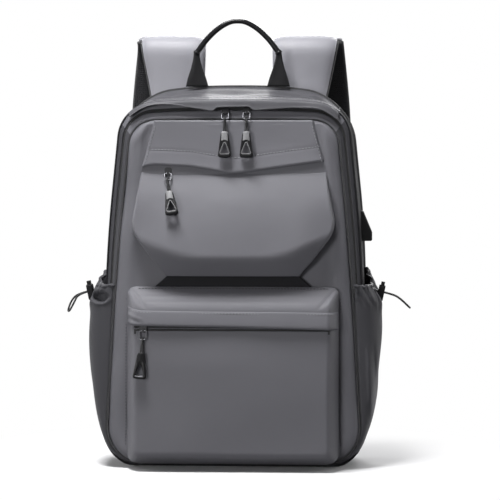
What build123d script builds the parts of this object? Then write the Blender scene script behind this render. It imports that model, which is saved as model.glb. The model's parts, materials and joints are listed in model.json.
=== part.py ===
"""Laptop backpack with a side USB port, as an assembly of separate sewn and moulded pieces.

Millimetres. +Z is up, the bag's front faces -Y, its right side as seen from the front is +X.
The origin is the centre of the flat base that the bag stands on.
"""

from build123d import *
from math import atan2, cos, degrees, pi, radians, sin, tan
import os

os.makedirs("parts", exist_ok=True)

# ---------------------------------------------------------------- driving dimensions
# Solids that only cut run this far past what they cut.
overshoot = 10.0

# Carcass: three outlines, one behind the other, joined by straight-sided fabric.
bag_height = 430.0
back_y = 62.0
fabric = 2.2
edge_fabric = 4.6
panel = 2.5
back_panel_thick = 4.0
base_rise = 16.0
base_trim = 1.0

front_base_y = -38.0
front_lean = 2.4
edge_base_y = -24.0
edge_lean = 1.0

low_front = (143.0, 6.0)
waist_front = (131.0, 225.0)
top_front = (115.0, 389.5)
low_edge = (146.0, -base_trim)
waist_edge = (142.0, 240.0)
top_edge = (125.0, 410.0)
low_back = (142.0, -base_trim)
waist_back = (147.0, 240.0)
top_back = (127.0, bag_height)

low_radius = 42.0
front_top_radius = 24.0
edge_top_radius = 28.0
back_top_radius = 36.0
piping = 2.2
piping_depth = 3.2

# Zips with a reversed coil: two tapes with a slit between them, and the coil behind.
tape_width = 12.0
tape_thick = 1.0
slit = 1.6
coil = 1.5
zip_clear = 0.35
slider_length = 8.0
slider_height = 9.0
slider_drop = 5.8
slider_thick = 1.2
slider_flange = 0.8
bail_width = 2.4
bail_wall = 0.95
bail_lift = 0.5
bail_y = -3.7
ring_wire = 1.4
ring_clear = 0.08
ring_width = 7.6
ring_length = 9.5
pull_cord = 1.8
pull_cord_length = 15.0
strand_clear = 0.05
grip_length = 28.0
grip_top = 8.5
grip_base = 14.7
grip_thick = 5.6
grip_wall = 3.0
grip_side_wall = 3.6
grip_solid = 11.8
grip_round = 1.4

# Main zip, along the fabric edge round the front panel.
main_zip_low = 150.0
main_zip_rise = 11.0
main_slit_half = 92.0
main_slider_left_x = -9.5
main_slider_right_x = 14.5
rain_flap_thick = 1.5
rain_flap_gap = 2.1
rain_flap_half = 97.0
rain_flap_low = 12.4
rain_flap_seam = 17.2
rain_flap_notch = 19.0
rain_flap_notch_top = 15.2

# Lower pocket, a shallow box with a flap over its zip.
lower_pocket_half = 117.0
lower_pocket_low = 7.0
lower_pocket_height = 196.0
lower_pocket_depth = 27.0
lower_pocket_corner = 14.0
lower_pocket_edge = 7.0
lower_zip_drop = 45.0
lower_zip_half = 108.0
lower_slider_x = -98.0
lower_flap_rise = 20.0
lower_flap_cover = 0.5

# Upper pocket, a hexagon that bulges out to a crease near its foot.
pocket_gap = 12.0
upper_pocket_height = 110.5
upper_pocket_shoulder = 102.0
upper_pocket_half = 113.0
upper_pocket_widest_rise = 53.0
upper_pocket_foot = 72.0
upper_pocket_reach = 30.0
upper_pocket_crease_rise = 25.0
upper_pocket_slope = 28.0
upper_pocket_bulge = 2.5
upper_zip_half = 92.0
upper_slider_x = -73.0
upper_seam = 1.0
yoke_top_half = 90.0
yoke_low_half = 102.0
yoke_low_rise = 7.0
yoke_point_drop = 0.5
yoke_thick = 1.8
flap_gap = 2.1
flap_thick = 1.6
flap_reach = 13.0

# How far the hanging parts of each pull stand off the upright, in degrees.
ring_lean = 40.0
main_cord_lean = 9.0
upper_cord_lift = 9.0
lower_ring_lean = 10.0
lower_cord_lean = 4.5

# Side pockets, with a gathered rim and an elastic cord.
side_pocket_front = -23.0
side_pocket_back = 58.0
side_pocket_foot = 12.0
side_pocket_reach = 164.0
side_pocket_rim = 155.0
side_rim_front_z = 204.0
side_rim_back_z = 221.0
side_pocket_corner = 14.0
side_pocket_tuck = 6.0
side_pocket_swell_low = 62.0
side_pocket_swell_mid = 125.0
side_pocket_swell_high = 165.0
side_pocket_gather = 12.0
side_pocket_flare = 2.5

# Cord lock on each side pocket, on a twin elastic cord that leans down as it leaves the rim.
cord = 2.2
cord_hole = 2.9
cord_half_gap = 2.0
eyelet_x = 157.6
eyelet_y = 8.0
eyelet_z = 197.0
cord_dip = 12.0
lock_gap = 4.3
lock_width = 13.0
lock_thick = 7.0
lock_above = 7.5
lock_below = 10.5
lock_floor = 1.8
lock_round = 1.0
button_round = 1.5
button_wall = 1.6
button_width = 9.0
button_thick = 4.0
button_rise = 4.0
button_travel = 3.0
button_clear = 0.25
spring_wire = 0.6
spring_radius = 1.3
spring_gap = 0.1
spring_turns = 3

# Straps.
strap_pad_thick = 9.0
strap_mesh_thick = 2.0
strap_hinge_y = 74.5
strap_hinge_z = 404.0
strap_crest_y = 100.0
strap_crest_z = 480.0
strap_crest_half = 17.0
strap_crest_radius = 15.0
strap_straight = 180.0
strap_sweep_radius = 400.0
strap_foot_y = 100.0
strap_gap = 0.3
strap_foot_z = 148.0
strap_patch_thick = 2.5
webbing_width = 25.0
webbing_thick = 1.6
webbing_turn_clear = 0.5
webbing_loop_tail = 17.0
webbing_bar_clear = 0.1
webbing_bar_drop = 0.4
webbing_tail = 55.0
webbing_end = (121.0, 73.6, 44.0)
ladder_centre = (92.0, 101.0, 127.0)
ladder_width = 33.0
ladder_slot = 7.25
ladder_middle = 3.0
ladder_outer = 4.0
ladder_thick = 4.4
ladder_corner = 3.0
ladder_round = 0.6
webbing_side_clear = 0.5
anchor_thick = 2.0
anchor_corners = [(104.0, 10.0), (130.0, 32.0), (134.0, 50.0), (108.0, 56.0), (88.0, 10.0)]
strap_patch_top = (106.0, 418.0)
strap_patch_foot = (92.0, 380.0)

# Carry handle.
handle_y = 54.0
handle_axis_z = 430.8
handle_end_x = 47.0
handle_end_z = 471.0
handle_top_z = 507.0
handle_tube = 7.4
tab_base = 27.0
tab_top = 10.0
tab_thick = 5.0

# USB port on the right side.
usb_y = 30.0
usb_low = 252.0
usb_high = 286.0
usb_width = 22.0
usb_reach = 155.0
usb_lip = 10.0
usb_shoulder = 10.0
usb_round = 2.0
usb_x = 149.6
usb_mouth_wide = 12.5
usb_mouth_thick = 5.1
usb_metal = 0.3
usb_depth = 14.0
usb_tongue_thick = 1.8
usb_tongue_wide = 11.1
usb_tongue_length = 8.9
usb_tongue_root = 3.0

# Inside and back.
board_front = -14.0
board_gap = 0.5
board_corner = 12.0
board_thick = 2.5
sleeve_y = 44.0
sleeve_height = 330.0
sleeve_thick = 4.0
back_pad_x = 56.0
back_pad_z = 205.0
back_pad_width = 84.0
back_pad_height = 330.0
back_pad_corner = 24.0
back_pad_thick = 9.0
back_pad_round = 5.4


# Heights that follow, from the base up.
lower_pocket_top = lower_pocket_low + lower_pocket_height
lower_zip_height = lower_pocket_top - lower_zip_drop
lower_flap_top = lower_zip_height + lower_flap_rise
lower_flap_low = lower_zip_height - lower_flap_cover
upper_pocket_low = lower_pocket_top + pocket_gap
upper_pocket_crease = upper_pocket_low + upper_pocket_crease_rise
upper_pocket_widest = upper_pocket_low + upper_pocket_widest_rise
upper_pocket_top = upper_pocket_low + upper_pocket_height
upper_zip_height = upper_pocket_top + upper_seam + tape_width / 2
yoke_low_height = upper_zip_height + yoke_low_rise
yoke_point_height = upper_zip_height - yoke_point_drop


def write(block, name):
    """Label a finished piece with its name and write it."""
    block.part.label = name
    export_step(block.part, f"parts/{name}.step")
    print(name, "solids", len(block.part.solids()), "volume", round(block.part.volume))


# ---------------------------------------------------------------- carcass
def leaning_plane(origin, lean):
    """A plane that faces the front; its foot stands forward of its top by some degrees."""
    return Plane(
        origin=origin,
        x_dir=(1, 0, 0),
        z_dir=(0, -cos(radians(lean)), sin(radians(lean))),
    )


front_plane = leaning_plane((0, front_base_y, 0), front_lean)
edge_plane = leaning_plane((0, edge_base_y, 0), edge_lean)
back_plane = leaning_plane((0, back_y, 0), 0)
panel_face = front_plane.offset(panel)


def outline(plane, low, waist, top, top_radius, inset=0.0):
    """The bag's outline in one plane: flat base, round lower corners, sides that lean in."""
    corners = [
        (-low[0] + inset, low[1] + inset),
        (low[0] - inset, low[1] + inset),
        (waist[0] - inset, waist[1]),
        (top[0] - inset, top[1] - inset),
        (-top[0] + inset, top[1] - inset),
        (-waist[0] + inset, waist[1]),
    ]
    with BuildSketch(plane) as section:
        with BuildLine():
            Polyline(*corners, close=True)
        make_face()
        lower = section.vertices().group_by(Axis.Z)[0]
        upper = section.vertices().group_by(Axis.Z)[-1]
        fillet(lower, low_radius - inset)
        fillet(upper, top_radius - inset)
    return section.sketch


def front_outline(inset=0.0, plane=front_plane):
    return outline(plane, low_front, waist_front, top_front, front_top_radius, inset)


def edge_outline(inset=0.0):
    return outline(edge_plane, low_edge, waist_edge, top_edge, edge_top_radius, inset)


def back_outline(inset=0.0, plane=back_plane):
    return outline(plane, low_back, waist_back, top_back, back_top_radius, inset)


def form_between(first, second):
    with BuildPart() as form:
        loft([first, second], ruled=True)
    return form.part


edge_form = form_between(front_outline(), edge_outline())
edge_hollow = form_between(front_outline(edge_fabric), edge_outline(edge_fabric))
gusset_form = form_between(edge_outline(), back_outline())
gusset_hollow = form_between(edge_outline(fabric), back_outline(fabric))

wide = 4 * low_back[0]
deep = 4 * back_y

with BuildPart() as below_base_seam:
    with BuildSketch(Plane.XY.offset(-overshoot)):
        Rectangle(wide, deep)
    extrude(amount=overshoot + base_rise)

with BuildPart() as above_zip_end:
    with BuildSketch(Plane.XY.offset(main_zip_low)):
        Rectangle(wide, deep)
    extrude(amount=bag_height)

with BuildPart() as front_panel:
    extrude(front_outline(), amount=panel)
    with BuildSketch(panel_face):
        with Locations((0, upper_zip_height)):
            Rectangle(2 * upper_zip_half, tape_width)
    extrude(amount=-panel, mode=Mode.SUBTRACT)
write(front_panel, "front_panel")

with BuildPart() as edge_band:
    add(edge_form)
    add(edge_hollow, mode=Mode.SUBTRACT)

with BuildPart() as main_gusset:
    add(gusset_form)
    add(gusset_hollow, mode=Mode.SUBTRACT)
    add(edge_band.part - above_zip_end.part)
    add(below_base_seam.part, mode=Mode.SUBTRACT)
write(main_gusset, "main_gusset")

with BuildPart() as base_panel:
    add(gusset_form)
    add(edge_form)
    add(gusset_hollow, mode=Mode.SUBTRACT)
    add(edge_hollow, mode=Mode.SUBTRACT)
    add(below_base_seam.part, mode=Mode.INTERSECT)
    split(bisect_by=Plane.XY, keep=Keep.TOP)
write(base_panel, "base_panel")

with BuildPart() as back_panel:
    extrude(back_outline(), amount=-back_panel_thick)
    split(bisect_by=Plane.XY, keep=Keep.TOP)
write(back_panel, "back_panel")

with BuildPart() as inside:
    add(gusset_hollow)
    add(edge_hollow)

with BuildPart() as outside:
    add(gusset_form)
    add(edge_form)
    extrude(front_outline(), amount=panel)
    extrude(back_outline(), amount=-back_panel_thick)

board_depth = sleeve_y - board_gap - board_front
with BuildPart() as base_board:
    with BuildSketch(Plane.XY.offset(fabric - base_trim)):
        with Locations((0, board_front + board_depth / 2)):
            RectangleRounded(2 * (low_back[0] - low_radius), board_depth, board_corner)
    extrude(amount=board_thick)
write(base_board, "base_board")

with BuildPart() as laptop_sleeve:
    with BuildSketch(Plane.XZ.offset(-sleeve_y)):
        with Locations((0, sleeve_height / 2)):
            Rectangle(wide, sleeve_height)
    extrude(amount=-sleeve_thick)
    add(inside.part, mode=Mode.INTERSECT)
write(laptop_sleeve, "laptop_sleeve")

with BuildPart() as front_piping:
    extrude(front_outline(-piping), amount=piping_depth)
    extrude(front_outline(), amount=piping_depth, mode=Mode.SUBTRACT)
write(front_piping, "front_piping")

with BuildPart() as rear_piping:
    extrude(back_outline(-piping), amount=-piping_depth)
    extrude(back_outline(), amount=-piping_depth, mode=Mode.SUBTRACT)
    split(bisect_by=Plane.XY, keep=Keep.TOP)
write(rear_piping, "rear_piping")

back_face = back_y + back_panel_thick
for side, name in ((-1, "back_pad_left"), (1, "back_pad_right")):
    with BuildPart() as back_pad:
        with BuildSketch(Plane.XZ.offset(-back_face)):
            with Locations((side * back_pad_x, back_pad_z)):
                RectangleRounded(back_pad_width, back_pad_height, back_pad_corner)
        extrude(amount=-back_pad_thick)
        fillet(back_pad.faces().sort_by(Axis.Y)[-1].edges(), back_pad_round)
    write(back_pad, name)


# ---------------------------------------------------------------- zips
def on_face(face, x, height):
    """A plane on a leaning face: X along a zip, Y up the face, Z out of it."""
    return Plane(
        origin=face.from_local_coords((x, height, 0)),
        x_dir=(1, 0, 0),
        z_dir=face.z_dir,
    )


bail_hole = ring_wire / 2 + ring_clear
bail_centre = zip_clear + slider_thick + bail_lift + bail_hole
channel_floor = tape_thick + coil + zip_clear
channel_half = slit / 2 + coil + zip_clear


def coil_pair(place, half):
    """The sketch of both coils of a zip, one on each side of the slit."""
    with BuildSketch(place.offset(-tape_thick)) as pair:
        with Locations((0, (slit + coil) / 2), (0, -(slit + coil) / 2)):
            Rectangle(2 * half, coil)
    return pair.sketch


def straight_zip(place, half):
    """Two tapes joined at their ends, with a slit between them and a coil on each."""
    inner_half = half - tape_width / 2
    with BuildPart() as chain:
        with BuildSketch(place):
            Rectangle(2 * half, tape_width)
            Rectangle(2 * inner_half, slit, mode=Mode.SUBTRACT)
        extrude(amount=-tape_thick)
        extrude(coil_pair(place, inner_half), amount=-coil)
    return chain


def slider(place):
    """An outer plate with a bail, a web through the slit and a channel round the coils."""
    web_length = slider_length * 0.75
    bail_length = 2 * (bail_hole + bail_wall)
    bail_top = bail_centre + bail_hole + bail_wall
    bar = Plane(
        origin=place.from_local_coords((0, bail_y, bail_centre)),
        x_dir=place.y_dir,
        z_dir=place.x_dir,
    )
    with BuildPart() as body:
        with BuildSketch(place.offset(zip_clear)):
            with Locations((0, slider_height / 2 - slider_drop)):
                RectangleRounded(slider_length, slider_height, slider_length * 0.3)
        extrude(amount=slider_thick)
        with BuildSketch(place.offset(zip_clear + slider_thick)):
            with Locations((0, bail_y)):
                Rectangle(bail_width, bail_length)
        extrude(amount=bail_top - zip_clear - slider_thick)
        with BuildSketch(bar):
            Circle(bail_hole)
        extrude(amount=bail_width, both=True, mode=Mode.SUBTRACT)
        with BuildSketch(place.offset(zip_clear)):
            Rectangle(web_length, slit - 2 * zip_clear)
        extrude(amount=-zip_clear - channel_floor)
        with BuildSketch(place.offset(-channel_floor)):
            Rectangle(web_length, 2 * (channel_half + slider_flange))
        extrude(amount=-slider_flange)
        with BuildSketch(place.offset(-channel_floor)):
            with Locations(
                (0, channel_half + slider_flange / 2),
                (0, -channel_half - slider_flange / 2),
            ):
                Rectangle(web_length, slider_flange)
        extrude(amount=coil)
    return body


def ring(place):
    """A wire link whose upper bar turns in the bail."""
    with BuildPart() as link:
        with BuildLine(place) as loop:
            FilletPolyline(
                (-ring_width / 2, 0),
                (ring_width / 2, 0),
                (ring_width / 2, -ring_length),
                (-ring_width / 2, -ring_length),
                radius=ring_wire * 1.1,
                close=True,
            )
        with BuildSketch(Plane(origin=place.origin, x_dir=place.y_dir, z_dir=place.x_dir)):
            Circle(ring_wire / 2)
        sweep(path=loop.line)
    return link


def strands(place):
    """The cord of a pull: a loop over the ring's lower bar, with both ends in the grip."""
    reach = (ring_wire + pull_cord) / 2 + strand_clear
    side = Plane(origin=place.origin, x_dir=place.z_dir, z_dir=-place.x_dir)
    foot = side.from_local_coords((-reach, -pull_cord_length, 0))
    with BuildPart() as loop:
        with BuildLine(side) as path:
            Line((-reach, -pull_cord_length), (-reach, 0))
            ThreePointArc((-reach, 0), (0, reach), (reach, 0))
            Line((reach, 0), (reach, -pull_cord_length))
        with BuildSketch(Plane(origin=foot, x_dir=place.x_dir, z_dir=place.y_dir)):
            Circle(pull_cord / 2)
        sweep(path=path.line)
    return loop


def grip(place):
    """A moulded grip that widens to its foot, with a three-sided opening above the foot bar."""
    top = -pull_cord_length
    foot = top - grip_length
    with BuildPart() as sleeve:
        with BuildSketch(place) as face:
            with BuildLine():
                Polyline(
                    (-grip_top / 2, top),
                    (grip_top / 2, top),
                    (grip_base / 2, foot),
                    (-grip_base / 2, foot),
                    close=True,
                )
            make_face()
            fillet(face.vertices(), grip_wall / 2)
        extrude(amount=grip_thick / 2, both=True)
        broad_faces = sleeve.faces().sort_by(Axis((0, 0, 0), place.z_dir))
        fillet(broad_faces[0].edges() + broad_faces[-1].edges(), grip_round)
        with BuildSketch(place) as opening:
            with BuildLine():
                Polyline(
                    (0, top - grip_solid),
                    (grip_base / 2 - grip_side_wall, foot + grip_wall),
                    (-grip_base / 2 + grip_side_wall, foot + grip_wall),
                    close=True,
                )
            make_face()
            fillet(opening.vertices(), 1)
        extrude(amount=grip_thick, both=True, mode=Mode.SUBTRACT)
    return sleeve


def zip_pull(name, place, ring_lean, cord_lean):
    """A slider with its pull. The ring and the cord below it hang at their own leans."""
    bar = place.from_local_coords((0, bail_y, bail_centre))
    ring_place = leaning_plane(bar, ring_lean)
    cord_place = leaning_plane(ring_place.from_local_coords((0, -ring_length, 0)), cord_lean)
    write(slider(place), f"{name}_slider")
    write(ring(ring_place), f"{name}_pull_ring")
    write(strands(cord_place), f"{name}_pull_cord")
    write(grip(cord_place), f"{name}_pull_grip")
    print(name, "pull hinge", bar)


# Main zip: the band between the front panel's edge and the gusset carries it.
band_foot = front_plane.from_local_coords((0, top_front[1], 0))
band_head = edge_plane.from_local_coords((0, top_edge[1], 0))
band_face = Plane(
    origin=band_foot,
    x_dir=(1, 0, 0),
    z_dir=Vector(1, 0, 0).cross(band_head - band_foot),
)
band_head_height = (band_head - band_foot).length
main_zip_place = on_face(band_face, 0, main_zip_rise)

with BuildPart() as main_zip:
    add(edge_band.part)
    add(above_zip_end.part, mode=Mode.INTERSECT)
    with BuildSketch(main_zip_place.offset(-tape_thick)):
        Rectangle(2 * main_slit_half + tape_width, tape_width)
    extrude(amount=-4 * tape_thick, mode=Mode.SUBTRACT)
    with BuildSketch(main_zip_place):
        Rectangle(2 * main_slit_half, slit)
    extrude(amount=4 * tape_thick, both=True, mode=Mode.SUBTRACT)
    extrude(coil_pair(main_zip_place, main_slit_half), amount=-coil)
write(main_zip, "main_zip")

with BuildPart() as rain_flap:
    with BuildSketch(band_face.offset(rain_flap_gap)):
        with Locations((0, (rain_flap_low + rain_flap_seam) / 2)):
            Rectangle(2 * rain_flap_half, rain_flap_seam - rain_flap_low)
        with Locations((0, (rain_flap_low + rain_flap_notch_top) / 2)):
            Rectangle(
                2 * rain_flap_notch, rain_flap_notch_top - rain_flap_low, mode=Mode.SUBTRACT
            )
    extrude(amount=rain_flap_thick)
    with BuildSketch(band_face):
        with Locations((0, (rain_flap_seam + band_head_height) / 2)):
            Rectangle(2 * rain_flap_half, band_head_height - rain_flap_seam)
    extrude(amount=rain_flap_gap + rain_flap_thick)
write(rain_flap, "rain_flap")

for pull_name, pull_x in (("main_left", main_slider_left_x), ("main_right", main_slider_right_x)):
    zip_pull(pull_name, on_face(band_face, pull_x, main_zip_rise), ring_lean, main_cord_lean)


# ---------------------------------------------------------------- upper pocket
upper_zip_place = on_face(panel_face, 0, upper_zip_height)
write(straight_zip(upper_zip_place, upper_zip_half), "upper_zip")
pocket_rise = degrees(atan2(upper_pocket_reach, upper_pocket_height - upper_pocket_crease_rise))
zip_pull(
    "upper",
    on_face(panel_face, upper_slider_x, upper_zip_height),
    ring_lean,
    pocket_rise + upper_cord_lift,
)

with BuildPart() as yoke:
    with BuildSketch(panel_face):
        with BuildLine():
            Polyline(
                (-yoke_top_half, top_front[1] - piping),
                (yoke_top_half, top_front[1] - piping),
                (yoke_low_half, yoke_low_height),
                (0, yoke_point_height),
                (-yoke_low_half, yoke_low_height),
                close=True,
            )
        make_face()
    extrude(amount=flap_gap + flap_thick)
    with BuildSketch(panel_face.offset(yoke_thick)):
        with Locations((0, yoke_low_height + flap_reach + bag_height / 2)):
            Rectangle(wide, bag_height)
    extrude(amount=flap_gap + flap_thick, mode=Mode.SUBTRACT)
    with BuildSketch(panel_face):
        with Locations((0, upper_zip_height)):
            Rectangle(wide, tape_width + 2 * zip_clear)
    extrude(amount=flap_gap, mode=Mode.SUBTRACT)
write(yoke, "yoke_flap")


def pocket_bulge(inset):
    """The upper pocket's fabric form: a tapering hexagon cut back by a full, sloping face."""
    half = upper_pocket_half - inset
    foot_turn = atan2(upper_pocket_widest_rise, upper_pocket_half - upper_pocket_foot)
    foot_half = upper_pocket_foot - inset * tan(foot_turn / 2)
    face_y = panel_face.from_local_coords((0, upper_pocket_top, 0)).Y + inset
    crease_y = panel_face.from_local_coords((0, upper_pocket_crease, upper_pocket_reach)).Y + inset
    middle_y = (face_y + crease_y) / 2 - upper_pocket_bulge
    middle_z = (upper_pocket_top + upper_pocket_crease) / 2 + upper_pocket_bulge
    with BuildPart() as form:
        with BuildSketch(panel_face):
            with BuildLine():
                Polyline(
                    (-upper_pocket_shoulder + inset, upper_pocket_top + upper_seam),
                    (-half, upper_pocket_widest),
                    (-foot_half, upper_pocket_low + inset),
                    (foot_half, upper_pocket_low + inset),
                    (half, upper_pocket_widest),
                    (upper_pocket_shoulder - inset, upper_pocket_top + upper_seam),
                    close=True,
                )
            make_face()
        extrude(amount=upper_pocket_reach + overshoot - inset, taper=upper_pocket_slope)
        with BuildSketch(Plane.YZ):
            with BuildLine():
                Line((face_y, upper_pocket_top - inset), (0, upper_pocket_top - inset))
                Line((0, upper_pocket_top - inset), (0, upper_pocket_low - overshoot))
                Line((0, upper_pocket_low - overshoot), (crease_y, upper_pocket_low - overshoot))
                Line((crease_y, upper_pocket_low - overshoot), (crease_y, upper_pocket_crease))
                ThreePointArc(
                    (crease_y, upper_pocket_crease),
                    (middle_y, middle_z),
                    (face_y, upper_pocket_top - inset),
                )
            make_face()
        extrude(amount=2 * upper_pocket_half, both=True, mode=Mode.INTERSECT)
    return form.part


with BuildPart() as upper_pocket:
    add(pocket_bulge(0))
    add(pocket_bulge(fabric), mode=Mode.SUBTRACT)
write(upper_pocket, "upper_pocket")


# ---------------------------------------------------------------- lower pocket
def pocket_box(inset):
    height = lower_pocket_top - lower_pocket_low - 2 * inset
    with BuildPart() as box:
        with BuildSketch(panel_face):
            with Locations((0, (lower_pocket_top + lower_pocket_low) / 2)):
                RectangleRounded(
                    2 * (lower_pocket_half - inset), height, lower_pocket_corner - inset
                )
        extrude(amount=lower_pocket_depth - inset)
        outer_face = box.faces().sort_by(Axis.Y)[0]
        fillet(outer_face.edges(), lower_pocket_edge - inset)
    return box.part


pocket_face = panel_face.offset(lower_pocket_depth)
with BuildPart() as lower_pocket:
    add(pocket_box(0))
    add(pocket_box(fabric), mode=Mode.SUBTRACT)
    with BuildSketch(pocket_face):
        with Locations((0, lower_zip_height)):
            Rectangle(2 * lower_zip_half, tape_width)
    extrude(amount=-2 * fabric, mode=Mode.SUBTRACT)
write(lower_pocket, "lower_pocket")

write(straight_zip(on_face(pocket_face, 0, lower_zip_height), lower_zip_half), "lower_zip")
zip_pull(
    "lower",
    on_face(pocket_face, lower_slider_x, lower_zip_height),
    lower_ring_lean,
    lower_cord_lean,
)

flap_half = lower_pocket_half - lower_pocket_edge
with BuildPart() as lower_flap:
    with BuildSketch(pocket_face):
        with Locations((0, (lower_flap_top + lower_flap_low) / 2)):
            Rectangle(2 * flap_half, lower_flap_top - lower_flap_low)
    extrude(amount=flap_gap + flap_thick)
    with BuildSketch(pocket_face):
        with Locations((0, lower_zip_height)):
            Rectangle(wide, tape_width + 2 * zip_clear)
    extrude(amount=flap_gap, mode=Mode.SUBTRACT)
write(lower_flap, "lower_pocket_flap")


# ---------------------------------------------------------------- side pockets
def side_pocket_form(inset):
    """A pouch that swells from the foot and closes in to its rim, with rounded upright edges."""
    reach = side_pocket_reach - inset
    rim = side_pocket_rim - inset
    foot = low_back[0] - side_pocket_tuck - inset
    above_rim = side_rim_back_z + overshoot
    with BuildPart() as pouch:
        with BuildSketch(Plane.XZ.offset(-side_pocket_front - inset)):
            with BuildLine():
                curve = Spline(
                    (foot, side_pocket_foot + inset),
                    (reach - side_pocket_tuck, side_pocket_swell_low),
                    (reach, side_pocket_swell_mid),
                    (reach - side_pocket_flare, side_pocket_swell_high),
                    (rim + side_pocket_flare, side_rim_front_z - side_pocket_gather),
                    (rim, above_rim),
                )
                Line(curve @ 1, (low_radius, above_rim))
                Line((low_radius, above_rim), (low_radius, side_pocket_foot + inset))
                Line((low_radius, side_pocket_foot + inset), curve @ 0)
            make_face()
        extrude(amount=side_pocket_front - side_pocket_back + 2 * inset)
        fillet(
            pouch.edges().filter_by(GeomType.BSPLINE),
            side_pocket_corner - inset,
        )
    return pouch.part


rim_rise = (side_rim_back_z - side_rim_front_z) / (side_pocket_back - side_pocket_front)
rim_plane = Plane(
    origin=(0, side_pocket_front, side_rim_front_z), x_dir=(1, 0, 0), z_dir=(0, -rim_rise, 1)
)

# The cord leaves the rim on a line that dips as it goes out. Across it: Y, and up the lock.
cord_line = Plane(
    origin=(eyelet_x, eyelet_y, eyelet_z),
    x_dir=(0, 1, 0),
    z_dir=(cos(radians(cord_dip)), 0, -sin(radians(cord_dip))),
)

with BuildPart() as side_pocket_right:
    add(side_pocket_form(0))
    add(side_pocket_form(fabric), mode=Mode.SUBTRACT)
    split(bisect_by=rim_plane, keep=Keep.BOTTOM)
    add(outside.part, mode=Mode.SUBTRACT)
    with BuildSketch(cord_line.offset(-3 * fabric)):
        with Locations((cord_half_gap, 0), (-cord_half_gap, 0)):
            Circle(cord_hole / 2)
    extrude(amount=6 * fabric, mode=Mode.SUBTRACT)
write(side_pocket_right, "side_pocket_right")

with BuildPart() as lock_body_right:
    with BuildSketch(cord_line.offset(lock_gap)):
        with Locations((0, (lock_above - lock_below) / 2)):
            RectangleRounded(lock_width, lock_above + lock_below, lock_width * 0.25)
    extrude(amount=lock_thick)
    broad = lock_body_right.faces().sort_by(Axis((0, 0, 0), cord_line.z_dir))
    fillet(broad[0].edges() + broad[-1].edges(), lock_round)
    with BuildSketch(cord_line.offset(lock_gap)):
        with Locations((cord_half_gap, 0), (-cord_half_gap, 0)):
            Circle(cord_hole / 2)
    extrude(amount=lock_thick, mode=Mode.SUBTRACT)
    with BuildSketch(cord_line.offset(lock_gap + lock_thick / 2)):
        with Locations((0, (lock_above + lock_floor - lock_below) / 2)):
            Rectangle(
                button_width + 2 * button_clear, lock_above + lock_below - lock_floor
            )
    extrude(amount=button_thick / 2 + button_clear, both=True, mode=Mode.SUBTRACT)

button_foot = -cord / 2 - button_wall
with BuildPart() as lock_button_right:
    with BuildSketch(cord_line.offset(lock_gap + lock_thick / 2)) as plunger:
        with Locations((0, (lock_above + button_rise + button_foot) / 2)):
            Rectangle(button_width, lock_above + button_rise - button_foot)
        fillet(plunger.vertices().group_by(Axis.Z)[-1], button_round)
        with Locations((0, (button_travel + button_clear) / 2)):
            Rectangle(
                2 * cord_half_gap + cord_hole,
                cord + button_travel + 2 * button_clear,
                mode=Mode.SUBTRACT,
            )
    extrude(amount=button_thick / 2, both=True)

spring_base = lock_floor - lock_below
spring_top = button_foot - button_travel - button_clear
with BuildPart() as lock_spring_right:
    spring_height = spring_top - spring_base - spring_wire - spring_gap
    with BuildLine(
        Plane(
            origin=cord_line.from_local_coords(
                (0, spring_base + spring_gap + spring_wire / 2, lock_gap + lock_thick / 2)
            ),
            x_dir=cord_line.x_dir,
            z_dir=cord_line.y_dir,
        )
    ) as turns:
        Helix(spring_height / spring_turns, spring_height, spring_radius)
    with BuildSketch(Plane(origin=turns.line @ 0, z_dir=turns.line % 0)):
        Circle(spring_wire / 2)
    sweep(path=turns.line, is_frenet=True)


def cord_route(points):
    """The path of a free cord: straight runs joined by arcs as wide as the runs allow."""
    places = [Vector(*p) for p in points]
    radii = []
    for before, corner, after in zip(places, places[1:], places[2:]):
        turn = radians((corner - before).get_angle(after - corner))
        run = min((corner - before).length, (after - corner).length)
        radii.append(0.45 * run / tan(turn / 2))
    print("cord radii", [round(r, 1) for r in radii])
    return radii


def loop_cord(line, points):
    """An elastic cord that leaves one eyelet and comes back to the other."""
    radii = cord_route(points)
    with BuildPart() as loop:
        with BuildLine(line) as path:
            FilletPolyline(*points, radius=radii)
        with BuildSketch(line.offset(points[0][2])):
            with Locations((points[0][0], points[0][1])):
                Circle(cord / 2)
        sweep(path=path.line)
    wire_length = path.wire().length
    section = pi * cord**2 / 4
    print("cord", round(wire_length, 1), "volume share", loop.part.volume / (wire_length * section))
    return loop


right_cord = [
    (cord_half_gap, 0, -1.5),
    (cord_half_gap, 0, 21.0),
    (3.2, -4.0, 32.5),
    (2.9, -12.0, 42.5),
    (-2.9, -12.0, 42.5),
    (-3.2, -4.0, 32.5),
    (-cord_half_gap, 0, 21.0),
    (-cord_half_gap, 0, -1.5),
]
left_cord = [
    (cord_half_gap, 0, -1.5),
    (cord_half_gap, 0, 21.5),
    (2.6, -5.0, 31.5),
    (1.2, -16.0, 40.0),
    (-1.2, -21.0, 36.5),
    (-2.6, -11.0, 29.5),
    (-cord_half_gap, 0, 21.5),
    (-cord_half_gap, 0, -1.5),
]
left_line = Plane(
    origin=(-eyelet_x, eyelet_y, eyelet_z),
    x_dir=(0, 1, 0),
    z_dir=(-cos(radians(cord_dip)), 0, -sin(radians(cord_dip))),
)
write(loop_cord(cord_line, right_cord), "pocket_cord_right")
write(loop_cord(left_line, [(y, -up, out) for y, up, out in left_cord]), "pocket_cord_left")

for made, piece in (
    (side_pocket_right, "side_pocket"),
    (lock_body_right, "cord_lock"),
    (lock_button_right, "lock_button"),
    (lock_spring_right, "lock_spring"),
):
    with BuildPart() as mirrored:
        mirror(made.part, about=Plane.YZ)
    if piece != "side_pocket":
        write(made, f"{piece}_right")
    write(mirrored, f"{piece}_left")


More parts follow.
